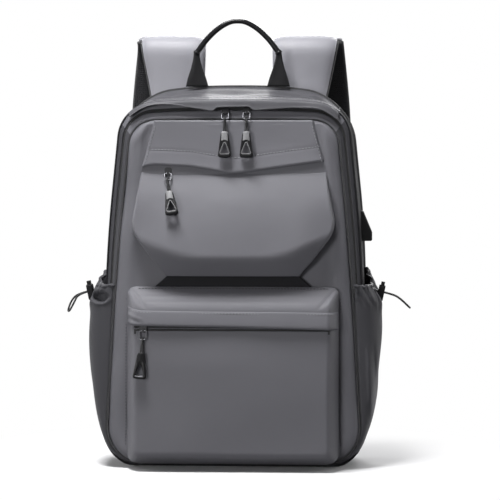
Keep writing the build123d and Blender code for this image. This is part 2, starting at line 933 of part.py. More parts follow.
# ---------------------------------------------------------------- shoulder straps
strap_seam = [
    Vector(strap_hinge_y + strap_pad_thick / 2, strap_hinge_z),
    Vector(strap_crest_y - strap_crest_half, strap_crest_z),
    Vector(strap_crest_y + strap_crest_half, strap_crest_z),
    Vector(strap_crest_y + strap_crest_half, strap_crest_z - strap_straight),
    Vector(strap_foot_y, strap_foot_z),
]
strap_bends = [strap_crest_radius, strap_crest_radius, strap_sweep_radius]


def beside(points, distance):
    """The corners of a path that runs beside another, at a distance to its left."""
    lefts = [(b - a).normalized().rotate(Axis.Z, 90) for a, b in zip(points, points[1:])]
    corners = [
        p + (m + n) * (distance / (1 + m.dot(n))) for p, m, n in zip(points[1:], lefts, lefts[1:])
    ]
    return [points[0] + lefts[0] * distance, *corners, points[-1] + lefts[-1] * distance]


def strap_band(near, far):
    """The side view of a strap layer, between two distances from the seam of pad and mesh."""
    with BuildSketch(Plane.YZ) as band:
        with BuildLine():
            near_edge = FilletPolyline(
                *beside(strap_seam, near), radius=[r + near for r in strap_bends]
            )
            far_edge = FilletPolyline(
                *beside(strap_seam, far), radius=[r + far for r in strap_bends]
            )
            Line(near_edge @ 0, far_edge @ 0)
            Line(near_edge @ 1, far_edge @ 1)
        make_face()
    return band.sketch


rise_outer = [(97, strap_hinge_z - 4), (108, strap_hinge_z + 45), (118, strap_crest_z + 20)]
rise_inner = [(40, strap_crest_z + 20), (41, strap_hinge_z + 45), (44, strap_hinge_z - 4)]
fall_outer = [(118, strap_crest_z + 20), (128, 390), (128, 270), (112, strap_foot_z)]
fall_inner = [(64, strap_foot_z), (62, 270), (54, 390), (40, strap_crest_z + 20)]


def strap_plan(outer, inner, from_y, to_y):
    """The front view of a strap between two depths, with curved sides."""
    with BuildPart() as plan:
        with BuildSketch(Plane.XZ.offset(-from_y)):
            with BuildLine():
                Spline(*outer)
                Line(outer[-1], inner[0])
                Spline(*inner)
                Line(inner[-1], outer[0])
            make_face()
        extrude(amount=from_y - to_y)
    return plan.part


strap_root_shape = strap_plan(rise_outer, rise_inner, back_y, strap_crest_y)
strap_fall_shape = strap_plan(
    fall_outer, fall_inner, strap_crest_y + strap_gap, strap_crest_y + 3 * strap_crest_half
)

# The webbing's own plane: Y runs up it, X across it, and Z away from the bag.
webbing_up = (Vector(*ladder_centre) - Vector(*webbing_end)).normalized()
webbing_across = (Vector(1, 0, 0) - webbing_up * webbing_up.X).normalized()
webbing_plane = Plane(
    origin=ladder_centre, x_dir=-webbing_across, z_dir=(-webbing_across).cross(webbing_up)
)
webbing_side = Plane(
    origin=ladder_centre, x_dir=webbing_plane.z_dir, z_dir=-webbing_plane.x_dir
)
webbing_length = (Vector(*ladder_centre) - Vector(*webbing_end)).length


def turned_webbing(height, turn, radius, near_end, far_end):
    """Webbing that turns round a bar, seen from its edge. turn is 1 over the bar, -1 under it."""
    with BuildPart() as strip:
        with BuildSketch(webbing_side) as edge:
            with BuildLine() as path:
                Line((-radius, near_end), (-radius, height))
                ThreePointArc((-radius, height), (0, height + turn * radius), (radius, height))
                Line((radius, height), (radius, far_end))
            trace(path.line, webbing_thick)
        extrude(amount=webbing_width / 2, both=True)
    return strip.part


bar_radius = ladder_thick / 2 + webbing_thick / 2 + webbing_turn_clear
top_bar = ladder_middle / 2 + ladder_slot + ladder_outer / 2
loop_end = top_bar + webbing_loop_tail
strap_loop = turned_webbing(
    top_bar - webbing_bar_drop, -1, bar_radius + webbing_bar_clear, loop_end, loop_end
)

# The straps are sewn on at their roots and bend over at the crest, where the rest hangs.
with BuildPart() as strap_roots:
    extrude(strap_band(-strap_mesh_thick, strap_pad_thick), amount=2 * low_back[0])
    add(strap_root_shape, mode=Mode.INTERSECT)
    mirror(about=Plane.YZ)

with BuildPart() as strap_pad_right:
    extrude(strap_band(0, strap_pad_thick), amount=2 * low_back[0])
    add(strap_fall_shape, mode=Mode.INTERSECT)
    add(strap_loop)

with BuildPart() as strap_mesh_right:
    extrude(strap_band(-strap_mesh_thick, strap_pad_thick), amount=2 * low_back[0])
    extrude(strap_band(0, strap_pad_thick), amount=2 * low_back[0], mode=Mode.SUBTRACT)
    add(strap_fall_shape, mode=Mode.INTERSECT)
    add(strap_loop, mode=Mode.SUBTRACT)

with BuildPart() as ladder_lock_right:
    with BuildSketch(webbing_plane):
        RectangleRounded(ladder_width, 2 * top_bar + ladder_outer, ladder_corner)
        with Locations(
            (0, (ladder_middle + ladder_slot) / 2), (0, -(ladder_middle + ladder_slot) / 2)
        ):
            Rectangle(webbing_width + 2 * webbing_side_clear, ladder_slot, mode=Mode.SUBTRACT)
    extrude(amount=ladder_thick / 2, both=True)
    broad = ladder_lock_right.faces().sort_by(Axis((0, 0, 0), webbing_plane.z_dir))
    fillet(broad[0].edges() + broad[-1].edges(), ladder_round)

with BuildPart() as strap_webbing_right:
    add(turned_webbing(0.6, 1, bar_radius, -webbing_length, -webbing_tail))

with BuildPart() as webbing_anchors:
    with BuildSketch(Plane.XZ.offset(-back_face)):
        with BuildLine():
            Polyline(*anchor_corners, close=True)
        make_face()
    extrude(amount=-anchor_thick)
    mirror(about=Plane.YZ)
write(webbing_anchors, "webbing_anchors")

with BuildPart() as strap_patch:
    with BuildSketch(Plane.XZ.offset(-back_face)):
        with BuildLine():
            Polyline(
                (-strap_patch_top[0], strap_patch_top[1]),
                strap_patch_top,
                strap_patch_foot,
                (-strap_patch_foot[0], strap_patch_foot[1]),
                close=True,
            )
        make_face()
    extrude(amount=-strap_patch_thick)
write(strap_patch, "strap_patch")
write(strap_roots, "strap_roots")

for made, piece in (
    (strap_pad_right, "strap_pad"),
    (strap_mesh_right, "strap_mesh"),
    (ladder_lock_right, "ladder_lock"),
    (strap_webbing_right, "strap_webbing"),
):
    with BuildPart() as mirrored:
        mirror(made.part, about=Plane.YZ)
    write(made, f"{piece}_right")
    write(mirrored, f"{piece}_left")


# ---------------------------------------------------------------- carry handle
handle_plane = Plane.XZ.offset(-handle_y)
with BuildPart() as handle_grip:
    with BuildLine(handle_plane) as arch:
        ThreePointArc((-handle_end_x, handle_end_z), (0, handle_top_z), (handle_end_x, handle_end_z))
    with BuildSketch(Plane(origin=arch.line @ 0, z_dir=arch.line % 0)):
        Circle(handle_tube / 2)
    sweep(path=arch.line)
write(handle_grip, "handle_grip")

with BuildPart() as handle_tabs:
    for side in (-1, 1):
        with BuildSketch(handle_plane):
            with BuildLine():
                Polyline(
                    (side * handle_end_x - tab_base / 2, handle_axis_z),
                    (side * handle_end_x + tab_base / 2, handle_axis_z),
                    (side * handle_end_x + tab_top / 2, handle_end_z),
                    (side * handle_end_x - tab_top / 2, handle_end_z),
                    close=True,
                )
            make_face()
        extrude(amount=tab_thick / 2, both=True)
        with BuildSketch(Plane.YZ.offset(side * handle_end_x)):
            with Locations((handle_y, handle_axis_z)):
                Circle(tab_thick / 2)
        extrude(amount=tab_base / 2, both=True)
    add(handle_grip.part, mode=Mode.SUBTRACT)
write(handle_tabs, "handle_tabs")


# ---------------------------------------------------------------- USB port
usb_outer_wide = usb_mouth_wide + 2 * usb_metal
usb_outer_thick = usb_mouth_thick + 2 * usb_metal
with BuildPart() as usb_housing:
    with BuildSketch(Plane.XZ.offset(-usb_y)):
        with BuildLine():
            Polyline(
                (low_radius, usb_high),
                (usb_reach - usb_shoulder, usb_high),
                (usb_reach, usb_low + usb_lip),
                (usb_reach, usb_low),
                (low_radius, usb_low),
                close=True,
            )
        make_face()
    extrude(amount=usb_width / 2, both=True)
    fillet(usb_housing.faces().sort_by(Axis.X)[-2:].edges(), usb_round)
    add(outside.part, mode=Mode.SUBTRACT)
    with BuildSketch(Plane.XY.offset(usb_low)):
        with Locations((usb_x, usb_y)):
            Rectangle(usb_outer_thick, usb_outer_wide)
    extrude(amount=usb_depth, mode=Mode.SUBTRACT)
write(usb_housing, "usb_housing")

with BuildPart() as usb_shell:
    with BuildSketch(Plane.XY.offset(usb_low)):
        with Locations((usb_x, usb_y)):
            Rectangle(usb_outer_thick, usb_outer_wide)
            Rectangle(usb_mouth_thick, usb_mouth_wide, mode=Mode.SUBTRACT)
    extrude(amount=usb_depth)
write(usb_shell, "usb_shell")

with BuildPart() as usb_tongue:
    with BuildSketch(Plane.XY.offset(usb_low + usb_depth - usb_tongue_root)):
        with Locations((usb_x, usb_y)):
            Rectangle(usb_mouth_thick, usb_mouth_wide)
    extrude(amount=usb_tongue_root)
    with BuildSketch(Plane.XY.offset(usb_low + usb_depth - usb_tongue_root)):
        with Locations((usb_x - usb_mouth_thick / 2 + usb_tongue_thick, usb_y)):
            Rectangle(usb_tongue_thick, usb_tongue_wide)
    extrude(amount=-usb_tongue_length)
write(usb_tongue, "usb_tongue")
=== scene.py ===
"""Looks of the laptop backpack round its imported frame: fabric shells, zips, straps, cords and a pale studio.

Shapes are in millimetres until they become meshes: x across the bag, y to its back, z up.
"""
import json
from math import acos, copysign, pi, radians, tan

import bpy
import numpy as np
from mathutils import Euler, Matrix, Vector
from numpy import array, clip, cos, linspace, sin, sqrt, where
from numpy import concatenate as join


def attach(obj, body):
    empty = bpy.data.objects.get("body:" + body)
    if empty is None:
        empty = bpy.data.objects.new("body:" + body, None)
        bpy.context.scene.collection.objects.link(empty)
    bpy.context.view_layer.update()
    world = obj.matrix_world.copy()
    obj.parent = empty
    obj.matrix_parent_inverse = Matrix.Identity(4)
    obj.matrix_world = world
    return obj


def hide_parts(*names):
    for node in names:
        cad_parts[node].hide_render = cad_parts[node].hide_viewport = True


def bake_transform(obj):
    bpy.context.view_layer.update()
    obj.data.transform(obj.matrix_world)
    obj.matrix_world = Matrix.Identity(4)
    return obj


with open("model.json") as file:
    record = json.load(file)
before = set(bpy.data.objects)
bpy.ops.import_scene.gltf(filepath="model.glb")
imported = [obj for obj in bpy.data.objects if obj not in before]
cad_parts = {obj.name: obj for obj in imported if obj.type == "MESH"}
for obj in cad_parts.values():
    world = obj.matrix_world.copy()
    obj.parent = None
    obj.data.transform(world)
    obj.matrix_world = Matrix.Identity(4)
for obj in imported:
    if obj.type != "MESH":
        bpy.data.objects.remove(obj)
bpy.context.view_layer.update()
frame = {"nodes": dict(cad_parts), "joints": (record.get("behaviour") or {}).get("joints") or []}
MM = 0.001
HAND = {-1: "left", 1: "right"}
scene = bpy.context.scene


# --- small maths
def smin(a, b, k):
    """The smaller of two values, blended over k."""
    h = clip(0.5 + 0.5 * (b - a) / k, 0, 1)
    return b * (1 - h) + a * h - k * h * (1 - h)


def step(a, b, x):
    """From 0 at a to 1 at b, eased."""
    t = clip((x - a) / (b - a), 0, 1)
    return t * t * (3 - 2 * t)


def bell(x, c, w):
    return np.exp(-(((x - c) / w) ** 2))


def power(x, k):
    """A power that keeps the sign, for squarer sections."""
    return np.sign(x) * abs(x) ** k


def turn(count):
    return linspace(0, 2 * pi, count, endpoint=False)


def xyz(x, y, z):
    """Points from three coordinates, each a number or an array."""
    return np.stack(np.broadcast_arrays(x, y, z), -1).astype(float)


def through(x, xs, ys):
    """A smooth curve through a few points."""
    xs, ys = array(xs, float), array(ys, float)
    slope = np.gradient(ys, xs)
    i = clip(np.searchsorted(xs, x) - 1, 0, len(xs) - 2)
    h = xs[i + 1] - xs[i]
    t = clip((x - xs[i]) / h, 0, 1)
    ease = t * t * (3 - 2 * t)
    return ys[i] * (1 - ease) + ys[i + 1] * ease + h * t * (1 - t) * (slope[i] * (1 - t) - slope[i + 1] * t)


def bent(x, xs, ys, r):
    """Straight runs between points, each corner eased over r either side."""
    return sum(np.interp(x + r * k, xs, ys) for k in (-1, -0.5, 0, 0.5, 1)) / 5


def ripples(u, v, seed, count, scale):
    """Soft irregular waves, about 1 high."""
    r = np.random.default_rng(seed)
    total = 0
    for _ in range(count):
        angle, phase = r.uniform(0, pi), r.uniform(0, 6.28)
        freq = r.uniform(0.6, 1.6) / scale
        total = total + sin((u * cos(angle) + v * sin(angle)) * freq * 6.28 + phase)
    return total / sqrt(count)


def unit(v):
    return v / np.linalg.norm(v, axis=-1, keepdims=True)


def run_length(path):
    return join([[0], np.cumsum(np.linalg.norm(np.diff(path, axis=0), axis=1))])


def at_length(path, s):
    """Points of a path at lengths along it."""
    run = run_length(path)
    return np.stack([np.interp(s, run, axis) for axis in np.asarray(path).T], -1)


def corner_arc(a, corner, b, count):
    t = linspace(0, 1, count, endpoint=False)[:, None]
    p, q, r = (1 - t) ** 2, 1.5 * t * (1 - t), t**2
    return (p * a + q * corner + r * b) / (p + q + r)


def rounded(corners, radii, count=8, closed=True):
    """Straight runs with rounded corners."""
    pts = [array(c, float) for c in corners]
    threes = list(zip(pts[-1:] + pts[:-1], pts, pts[1:] + pts[:1]) if closed else zip(pts, pts[1:], pts[2:]))
    out = [] if closed else pts[:1]
    for (before, here, after), radius in zip(threes, np.broadcast_to(radii, len(threes))):
        a, b = unit(before - here), unit(after - here)
        reach = radius / tan(acos(float(a @ b)) / 2)
        out += list(corner_arc(here + a * reach, here, here + b * reach, count)) + [here + b * reach]
    return array(out if closed else out + pts[-1:])


def evenly(loop, count):
    """A closed outline in even steps."""
    loop = join([loop, loop[:1]])
    return at_length(loop, linspace(0, run_length(loop)[-1], count, endpoint=False))


def linked(name, data):
    obj = bpy.data.objects.new(name, data)
    scene.collection.objects.link(obj)
    return obj


# --- materials
SLOT = {}


def configure(thing, **settings):
    for key, value in settings.items():
        setattr(thing, key, value)
    return thing


def plug(tree, made, inputs):
    """Set a node's inputs, each to a value or another node's output."""
    for socket, value in inputs.items():
        if isinstance(value, bpy.types.NodeSocket):
            tree.links.new(value, made.inputs[socket])
        else:
            made.inputs[socket].default_value = value


def node(tree, kind, inputs, out=0, **settings):
    """A new shader node's output, or with out=None the node."""
    made = configure(tree.nodes.new("ShaderNode" + kind), **settings)
    plug(tree, made, inputs)
    return made if out is None else made.outputs[out]


def material(name, slot, colour, rough, weave=None, metal=0, soft=0, vary=0.06, spec=0.5, grain=0, rib=0):
    """A finish of weave (depth, pitch), soft puckers and grain. colour is (red, green, blue) or (grey, blue)."""
    made = bpy.data.materials.new(name)
    made.use_nodes = True
    SLOT[made.name] = slot
    tree = made.node_tree
    place = node(tree, "TexCoord", {}, "Object")

    def both(kind, a, b):
        return node(tree, "Math", {0: a, 1: b}, operation=kind)

    def noise(scale, detail):
        return node(tree, "TexNoise", {"Scale": scale, "Detail": detail, "Vector": place}, "Fac")

    reliefs = []
    if weave:
        split = node(tree, "SeparateXYZ", {0: place}, None)
        freq = 2 * pi / (weave[1] * MM)
        a, b, c = (node(tree, "Math", {0: both("MULTIPLY", axis, freq)}, operation="SINE") for axis in split.outputs)
        crossed = both("ADD", both("MULTIPLY", a, c), both("MULTIPLY", b, c))
        reliefs += [(both("ADD", crossed, both("MULTIPLY", a, b)), weave[0]), (a, rib)]
    if soft:
        reliefs += [(noise(26, 3), soft * 6), (noise(90, 2), soft)]
    if grain:
        reliefs.append((noise(1400, 4), grain))
    height = 0
    for relief, amount in reliefs:
        height = both("ADD", height, both("MULTIPLY", relief, amount))

    mottle = both("ADD", both("MULTIPLY", noise(14, 2), 0.75), both("MULTIPLY", noise(420, 2), 0.25))
    dark, light = ([min(1, colour[i] * k) for i in (0, -2, -1)] + [1] for k in (1 - vary, 1 + vary))
    low, high = max(0.04, rough - 0.07), min(1, rough + 0.07)
    plug(tree, tree.nodes["Principled BSDF"], {
        "Metallic": metal,
        "Specular IOR Level": spec,
        "Base Color": node(tree, "Mix", {"A": dark, "B": light, "Factor": mottle}, "Result", data_type="RGBA"),
        "Roughness": node(tree, "MapRange", {"To Min": low, "To Max": high, "Value": noise(60, 3)}, "Result"),
        "Normal": node(tree, "Bump", {"Strength": 1, "Distance": 0.0004, "Height": height}, "Normal"),
    })
    return made


def coated(name, shade, rough, soft, spec, vary=0.06):
    """The bag's coated cloth, in a share of its full grey. A share below 1 is a darker copy, painted shade; above 1
    a lighter copy, painted light.
    """
    return material(name, "coated_fabric", [c * shade for c in (0.142, 0.141, 0.157)], rough, (0.05, 0.55),
                    soft=soft, spec=spec, vary=vary)


COATED = coated("coated", 1, 0.46, 0.25, 0.2, 0.05)
# darker copies of the one coated cloth: painted shade on the parts that wear them
COATED_PAINTED_SHADE = coated("coated_painted_shade", 0.42, 0.52, 0.4, 0.12)
FLAP_PAINTED_SHADE = coated("coated_flap_painted_shade", 0.52, 0.46, 0.3, 0.2)
DEEP_PAINTED_SHADE = coated("coated_side", 0.14, 0.6, 0.4, 0.06)
BAND_PAINTED_SHADE = coated("coated_band_painted_shade", 0.42, 0.5, 0.3, 0.1)
# a lighter copy of the same cloth: painted light on the straps
STRAP_PAINTED_LIGHT = coated("coated_strap", 1.45, 0.42, 0.3, 0.4)
TAB_FABRIC = material("tab_fabric", "coated_fabric", (0.01, 0.011), 0.7, (0.08, 0.6), soft=0.4, spec=0.15)
THREAD = material("thread", None, (0.23, 0.245), 0.6, grain=0.5)
DARK_THREAD = material("dark_thread", None, (0.03, 0.033), 0.6, grain=0.5)
BLACK_FABRIC = material("black_fabric", "back_fabric", (0.012, 0.014), 0.75, (0.35, 1.1), vary=0.15, spec=0.3)
AIR_MESH = material("air_mesh", "air_mesh", (0.01, 0.012), 0.85, (0.9, 2.4), vary=0.2, spec=0.3)
PIPING = material("piping", "piping_fabric", (0.014, 0.016), 0.6, (0.4, 0.9))
ZIP_TAPE = material("zip_tape", "zip_tape", (0.011, 0.012), 0.7, (0.5, 0.8))
COIL = material("coil", "zip_tape", (0.014, 0.015), 0.35, grain=0.1)
WEBBING = material("webbing", "webbing", (0.013, 0.015), 0.62, (0.2, 1.2), rib=0.7)
SLIDER = material("slider", None, (0.02, 0.022), 0.32, metal=0.6, grain=0.08)
RING = material("ring", "ring_metal", (0.09, 0.097), 0.34, metal=1, grain=0.04)
PULL_CORD = material("pull_cord", "pull_cord", (0.02, 0.022), 0.6, (0.8, 0.9))
SLEEVE = material("grip_sleeve", "grip_rubber", (0.2, 0.208), 0.42, grain=0.15, spec=0.4)
GRIP = material("grip", "grip_rubber", (0.007, 0.008), 0.3, grain=0.08, spec=0.14)
PLASTIC = material("plastic", None, (0.006, 0.007), 0.5, grain=0.12, spec=0.1)
STEEL = material("steel", None, (0.5, 0.5), 0.3, metal=1, grain=0.1)
ELASTIC = material("elastic", None, (0.012, 0.013), 0.55, (0.9, 0.8))
RUBBER = material("handle_rubber", "handle_rubber", (0.006, 0.007), 0.22, grain=0.02, spec=0.14)
PORT = material("port_rubber", None, (0.007, 0.008), 0.6, grain=0.2, spec=0.2)
FOAM = material("foam", None, (0.03, 0.033), 0.8, grain=0.6)
BOARD = material("board", None, (0.04, 0.04), 0.6, grain=0.3)


# --- mesh pieces
def mesh_object(name, points, faces):
    mesh = bpy.data.meshes.new(name)
    mesh.from_pydata((np.reshape(points, (-1, 3)) * MM).tolist(), [], faces)
    mesh.update()
    return linked(name, mesh)


def add_piece(name, points, faces, mats, nodes="", thick=0, body="bag", slot=None, offset=-1):
    """A smooth piece on a body. Its slot, its material's or the one given, is looked up but not used."""
    obj = mesh_object(name, points, faces)
    mesh = obj.data
    mesh.polygons.foreach_set("use_smooth", [True] * len(mesh.polygons))
    mats = mats if isinstance(mats, tuple) else (mats,)
    for mat in mats:
        mesh.materials.append(mat)
    if thick:
        configure(obj.modifiers.new("thickness", "SOLIDIFY"), thickness=thick * MM, offset=offset)
    if body:
        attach(obj, body)
    slot = slot or SLOT[mats[0].name]
    if nodes:
        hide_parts(*nodes.split())
    return obj


def grid_faces(rows, cols, wrap_rows=False, wrap_cols=False, flip=False):
    at = np.pad(np.arange(rows * cols).reshape(rows, cols), ((0, wrap_rows), (0, wrap_cols)), "wrap")
    faces = np.stack([at[:-1, :-1], at[:-1, 1:], at[1:, 1:], at[1:, :-1]], -1).reshape(-1, 4)
    return (faces[:, [0, 3, 2, 1]] if flip else faces).tolist()


def closed_faces(rows, cols, flip=False):
    """A row of rings with both ends closed."""
    ends = [tuple(range(cols))[::-1], tuple(range((rows - 1) * cols, rows * cols))]
    return grid_faces(rows, cols, False, True, flip) + [end[::-1] if flip else end for end in ends]


def sheet(name, points, mats, nodes="", thick=1, flip=False, wrap=False, **more):
    """Cloth over a grid of points. A wrapped one is turned over."""
    rows, cols = np.shape(points)[:2]
    return add_piece(name, points, grid_faces(rows, cols, False, wrap, flip or wrap), mats, nodes, thick, **more)


def painted_shade_below(obj, heights, z_top):
    """A closed band's second material, below a height: for the cloth a darker copy, painted shade. Gives the columns
    where that is.
    """
    low = heights < z_top
    for face in obj.data.polygons:
        face.material_index = int(low[face.index % len(low)])
    return np.nonzero(low != np.roll(low, 1))[0]


def frames_along(path, closed=False):
    """Two directions square to a path at each point, without twist."""
    ahead = np.roll(path, -1, 0) - np.roll(path, 1, 0)
    if not closed:
        ahead[0], ahead[-1] = path[1] - path[0], path[-1] - path[-2]
    ahead = unit(ahead)
    normal = np.cross(ahead[0], (0, 0, 1) if abs(ahead[0][2]) < 0.9 else (1, 0, 0))
    normals = []
    for t in ahead:
        normal = unit(normal - t * (normal @ t))
        normals.append(normal)
    return array(normals), np.cross(ahead, normals)


def tube(name, path, radius, mat, nodes="", closed=False, sides=8, flat=1, **more):
    """A tube along a path. Its radius may vary."""
    path = array(path, float)
    a, b = frames_along(path, closed)
    angles = turn(sides)[:, None]
    ring = cos(angles) * a[:, None] + flat * sin(angles) * b[:, None]
    faces = grid_faces(len(path), sides, True, True) if closed else closed_faces(len(path), sides)
    return add_piece(name, path[:, None] + ring * np.reshape(radius, (-1, 1, 1)), faces, mat, nodes, **more)


STITCH_PITCH, STITCH_LENGTH, STITCH_RADIUS = 3.6, 2.5, 0.44


def stitches(name, path, mat=THREAD, **more):
    """Single stitches along a path on the fabric."""
    path = array(path, float)
    run = run_length(path)
    starts = np.arange(STITCH_PITCH / 2, run[-1] - STITCH_LENGTH, STITCH_PITCH)
    place = np.minimum(np.searchsorted(run, starts), len(path) - 1)
    a, b = (directions[place][:, None] for directions in frames_along(path))
    angles = turn(5)[:, None]
    around = a * cos(angles) + b * sin(angles)
    middles = at_length(path, starts[:, None] + STITCH_LENGTH * array([0, 0.25, 0.75, 1]))
    wide = STITCH_RADIUS * array([0.35, 1, 1, 0.35])[:, None, None]
    one = closed_faces(4, 5)
    faces = [tuple(k + 20 * number for k in face) for number in range(len(starts)) for face in one]
    return add_piece(name, middles[:, :, None] + around[:, None] * wide, faces, mat, **more)


# --- the bag's planes and outlines
FRONT_LEAN, EDGE_LEAN = tan(radians(2.4)), tan(radians(1))
REAR_SEAM_Y, BACK_Y = 62, 66
BASE_RADIUS, GROUND = 42, 0.6


def panel_y(z):
    """The plane that the pockets are sewn to."""
    return -40.5 + FRONT_LEAN * z


def front_y(z):
    return -38 + FRONT_LEAN * z


def edge_y(z):
    return -24 + EDGE_LEAN * z


def half_outline(low, waist, top, top_radius, arch):
    """Half an outline in (x, z), from the base's middle to the top's."""
    (lx, lz), (wx, wz), (tx, tz) = low, waist, top

    def side(z):
        x = where(z < wz, lx + (wx - lx) * (z - lz) / (wz - lz), wx + (tx - wx) * (z - wz) / (tz - wz))
        bend = (tx - wx) / (tz - wz) - (wx - lx) / (wz - lz)
        return x + bend * clip(70 - abs(z - wz), 0, None) ** 2 / 280

    def roof(x):
        return tz - arch * (x / tx) ** 2.6

    def side_point(z, height):
        return array([side(z), height])

    z1, x2 = lz + BASE_RADIUS, tx - top_radius
    z2 = roof(tx) - top_radius
    base = xyz(linspace(0, lx - BASE_RADIUS, 10, endpoint=False), lz, 0)[:, :2]
    lower = corner_arc(array([lx - BASE_RADIUS, lz]), side_point(lz + 6, lz), side_point(z1, z1), 10)
    zs = linspace(z1, z2, 34, endpoint=False)
    upper = corner_arc(side_point(z2, z2), side_point(z2 + top_radius * 0.9, roof(tx)), array([x2, roof(x2)]), 12)
    xs = linspace(x2, 0, 17)
    return join([base, lower, np.stack([side(zs), zs], 1), upper, np.stack([xs, roof(xs)], 1)])


def closed_outline(half):
    return join([half, half[::-1][1:-1] * [-1, 1]])


def outward(loop):
    ahead = np.roll(loop, -1, 0) - np.roll(loop, 1, 0)
    return unit(ahead[:, ::-1] * [1, -1])


front_half = half_outline((143, 6), (131, 225), (115, 389.5), 26, 2)
edge_half = half_outline((146, GROUND), (142, 240), (125, 410), 32, 7)
back_half = half_outline((142, GROUND), (147, 240), (128, 428), 46, 16)
front_loop, edge_loop, back_loop = (closed_outline(half) for half in (front_half, edge_half, back_half))


def half_width(half, z):
    """How far an outline reaches at a height."""
    x, height = half[10:-1].T
    return np.interp(z, height, x)


# --- body shell
# heights below which the gusset and the band take darker copies of their cloth: painted shade
GUSSET_SHADE_JOINT, BAND_SHADE_START = 392, 372
# folds of the top cloth: how high, where they cross y = 20, their slant and how wide
TOP_FOLDS = ((2.6, 78, 0.55, 7), (-2.2, 92, 0.6, 6), (1.8, -84, -0.5, 8), (-1.4, -66, -0.5, 7))


def gusset():
    """The cloth of sides, top and base, slack and folded on top."""
    rows = []
    for t in linspace(0, 1, 27):
        loop = edge_loop * (1 - t) + back_loop * t
        x, z = loop.T
        y = edge_y(edge_loop[:, 1]) * (1 - t) + REAR_SEAM_Y * t
        high, belly = step(300, 400, z), sin(pi * t)
        folds = sum(tall * bell(x - at - (y - 20) * slant, 0, wide) for tall, at, slant, wide in TOP_FOLDS)
        slack = -2.2 + 1.6 * ripples(x, y * 2.2, 5, 6, 70) + folds
        full = 1.6 * step(20, 60, z) + 0.5 * ripples(z, y, 9, 5, 60) * step(30, 90, z)
        edge_roll = 2.2 * bell(t, 0, 0.035) + 1.2 * bell(t, 1, 0.03)
        swell = belly * (high * slack + (1 - high) * full) + edge_roll
        x, z_out = (loop + outward(loop) * swell[:, None]).T
        flat = step(6, 1, z)
        rows.append(xyz(x, y, np.maximum(z_out * (1 - flat) + GROUND * flat, GROUND)))
    # the top is a darker copy of the coated cloth, the sides and base below the joint a darker one still: painted
    # shade
    shell = sheet("gusset_shell", rows, (COATED_PAINTED_SHADE, DEEP_PAINTED_SHADE), "main_gusset base_panel", 1.6, wrap=True)
    # piping and stitches along the joint, where the deeper painted shade starts
    for number, j in enumerate(painted_shade_below(shell, edge_loop[:, 1], GUSSET_SHADE_JOINT)):
        seam = array(rows)[1:-1, j]
        away = array([copysign(0.5, rows[0][j, 0]), 0, 0.3])
        tube(f"gusset_joint_{number}", seam + away * 0.4, 0.7, PIPING, sides=6)
        stitches(f"gusset_joint_stitching_{number}", seam + away + [0, 0, 3])


def zip_band():
    """The band that carries the main zip, from the front panel's edge to the gusset."""
    # below its shade start the band's cloth is a darker copy: painted shade on its sides and base
    cloth, tape = (COATED, BAND_PAINTED_SHADE), (ZIP_TAPE, ZIP_TAPE)
    for name, start, end, mats, nodes, puff_at in (
        ("band_fabric", 0, 0.49, cloth, "",
         lambda t: 0.9 * sin(pi * min(t / 0.24, 1)) + (0.3 if t < 0.48 else -0.6)),
        ("band_tape", 0.40, 1, tape, "main_zip", lambda t: -0.8),
        ("band_upper", 0.66, 1, cloth, "", lambda t: -0.4 if t < 0.67 else 0.2),
    ):
        rows = []
        for t in linspace(start, end, 8):
            x, z = (front_loop * (1 - t) + edge_loop * t).T
            y = front_y(front_loop[:, 1]) * (1 - t) + edge_y(edge_loop[:, 1]) * t
            puff = puff_at(t)
            rows.append(xyz(x * (1 + puff * 0.005), y - puff * 0.7, z + puff * 0.3))
        painted_shade_below(sheet(name, rows, mats, nodes, 0.9, wrap=True), front_loop[:, 1], BAND_SHADE_START)


def seam_piping(end, loop, y_of, grow, radius):
    x, z = (loop + outward(loop) * grow).T
    z = np.maximum(z, 2)
    tube(f"{end}_seam_piping", xyz(x, y_of(z), z), radius, PIPING, f"{end}_piping", True, 10)


gusset()
zip_band()
# the front seam's dark piping is partly painted shade: it also stands in for the shadow in the seam's groove
seam_piping("front", front_loop, lambda z: front_y(z) + 0.1, 0.1, 1)
seam_piping("rear", back_loop, lambda z: REAR_SEAM_Y + 0.5, 0.6, 2)


# --- front panel
def front_panel_depth(x, z):
    """How far the padded panel stands off its seam."""
    half, side = half_width(front_half, z), step(96, 104, abs(x))
    crown = 2.6 + 1 * (1 - (x / half) ** 4)
    crown -= 3.4 * step(half - 7, half + 0.5, abs(x)) ** 1.5 + 3 * step(383.5, 389, z)
    crown += side * (1.3 * bell(abs(x), half - 13, 6) + 0.9 * ripples(x * 0.5, z, 3, 5, 120))
    return crown + 1.6 * bell(x + 104 - (z - 372) * 0.7, 0, 5) * step(350, 378, z)


def front_cloth(low, top):
    z = (low + (top - low) * (0.5 - 0.5 * cos(pi * linspace(0, 1, 120))))[:, None]
    x = half_width(front_half, z) * linspace(-1, 1, 91)
    sheet("front_cloth", xyz(x, front_y(z) - front_panel_depth(x, z), z), COATED, "front_panel", 1.4)


front_cloth(7, 388.3)


# --- upper pocket
UP_LOW, UP_TOP, UP_SLIT = 215, 330.2, 332.5
UP_CREASE, UP_HALF = 262, 113


def crowded(count, k):
    """Places from -1 to 1, closer together at both ends."""
    s = linspace(-1, 1, count)
    return np.sign(s) * (1 - (1 - abs(s)) ** k)


def turned_in(row, f, rise=0, narrow=0):
    """A pocket's edge row, moved a share of the way in to the panel."""
    x, y, z = np.moveaxis(row, -1, 0)
    return xyz(x * (1 - narrow * f), panel_y(z) - 1 - (panel_y(z) - y - 1) * (1 - f), z + rise * f**2)


def with_sides(points, gap, spread):
    """One more column on each side, back at the panel."""
    ends = []
    for sign, col in ((-1, 0), (1, -1)):
        x, _, z = points[:, col].T
        ends.append(xyz(x + sign * spread, panel_y(z) - gap, z)[:, None])
    return join([ends[0], points, ends[1]], 1)


def up_half(z):
    return bent(z, [UP_LOW - 2, 219, 266, UP_TOP + 4], [68, 78, 114.5, 102.5], 11)


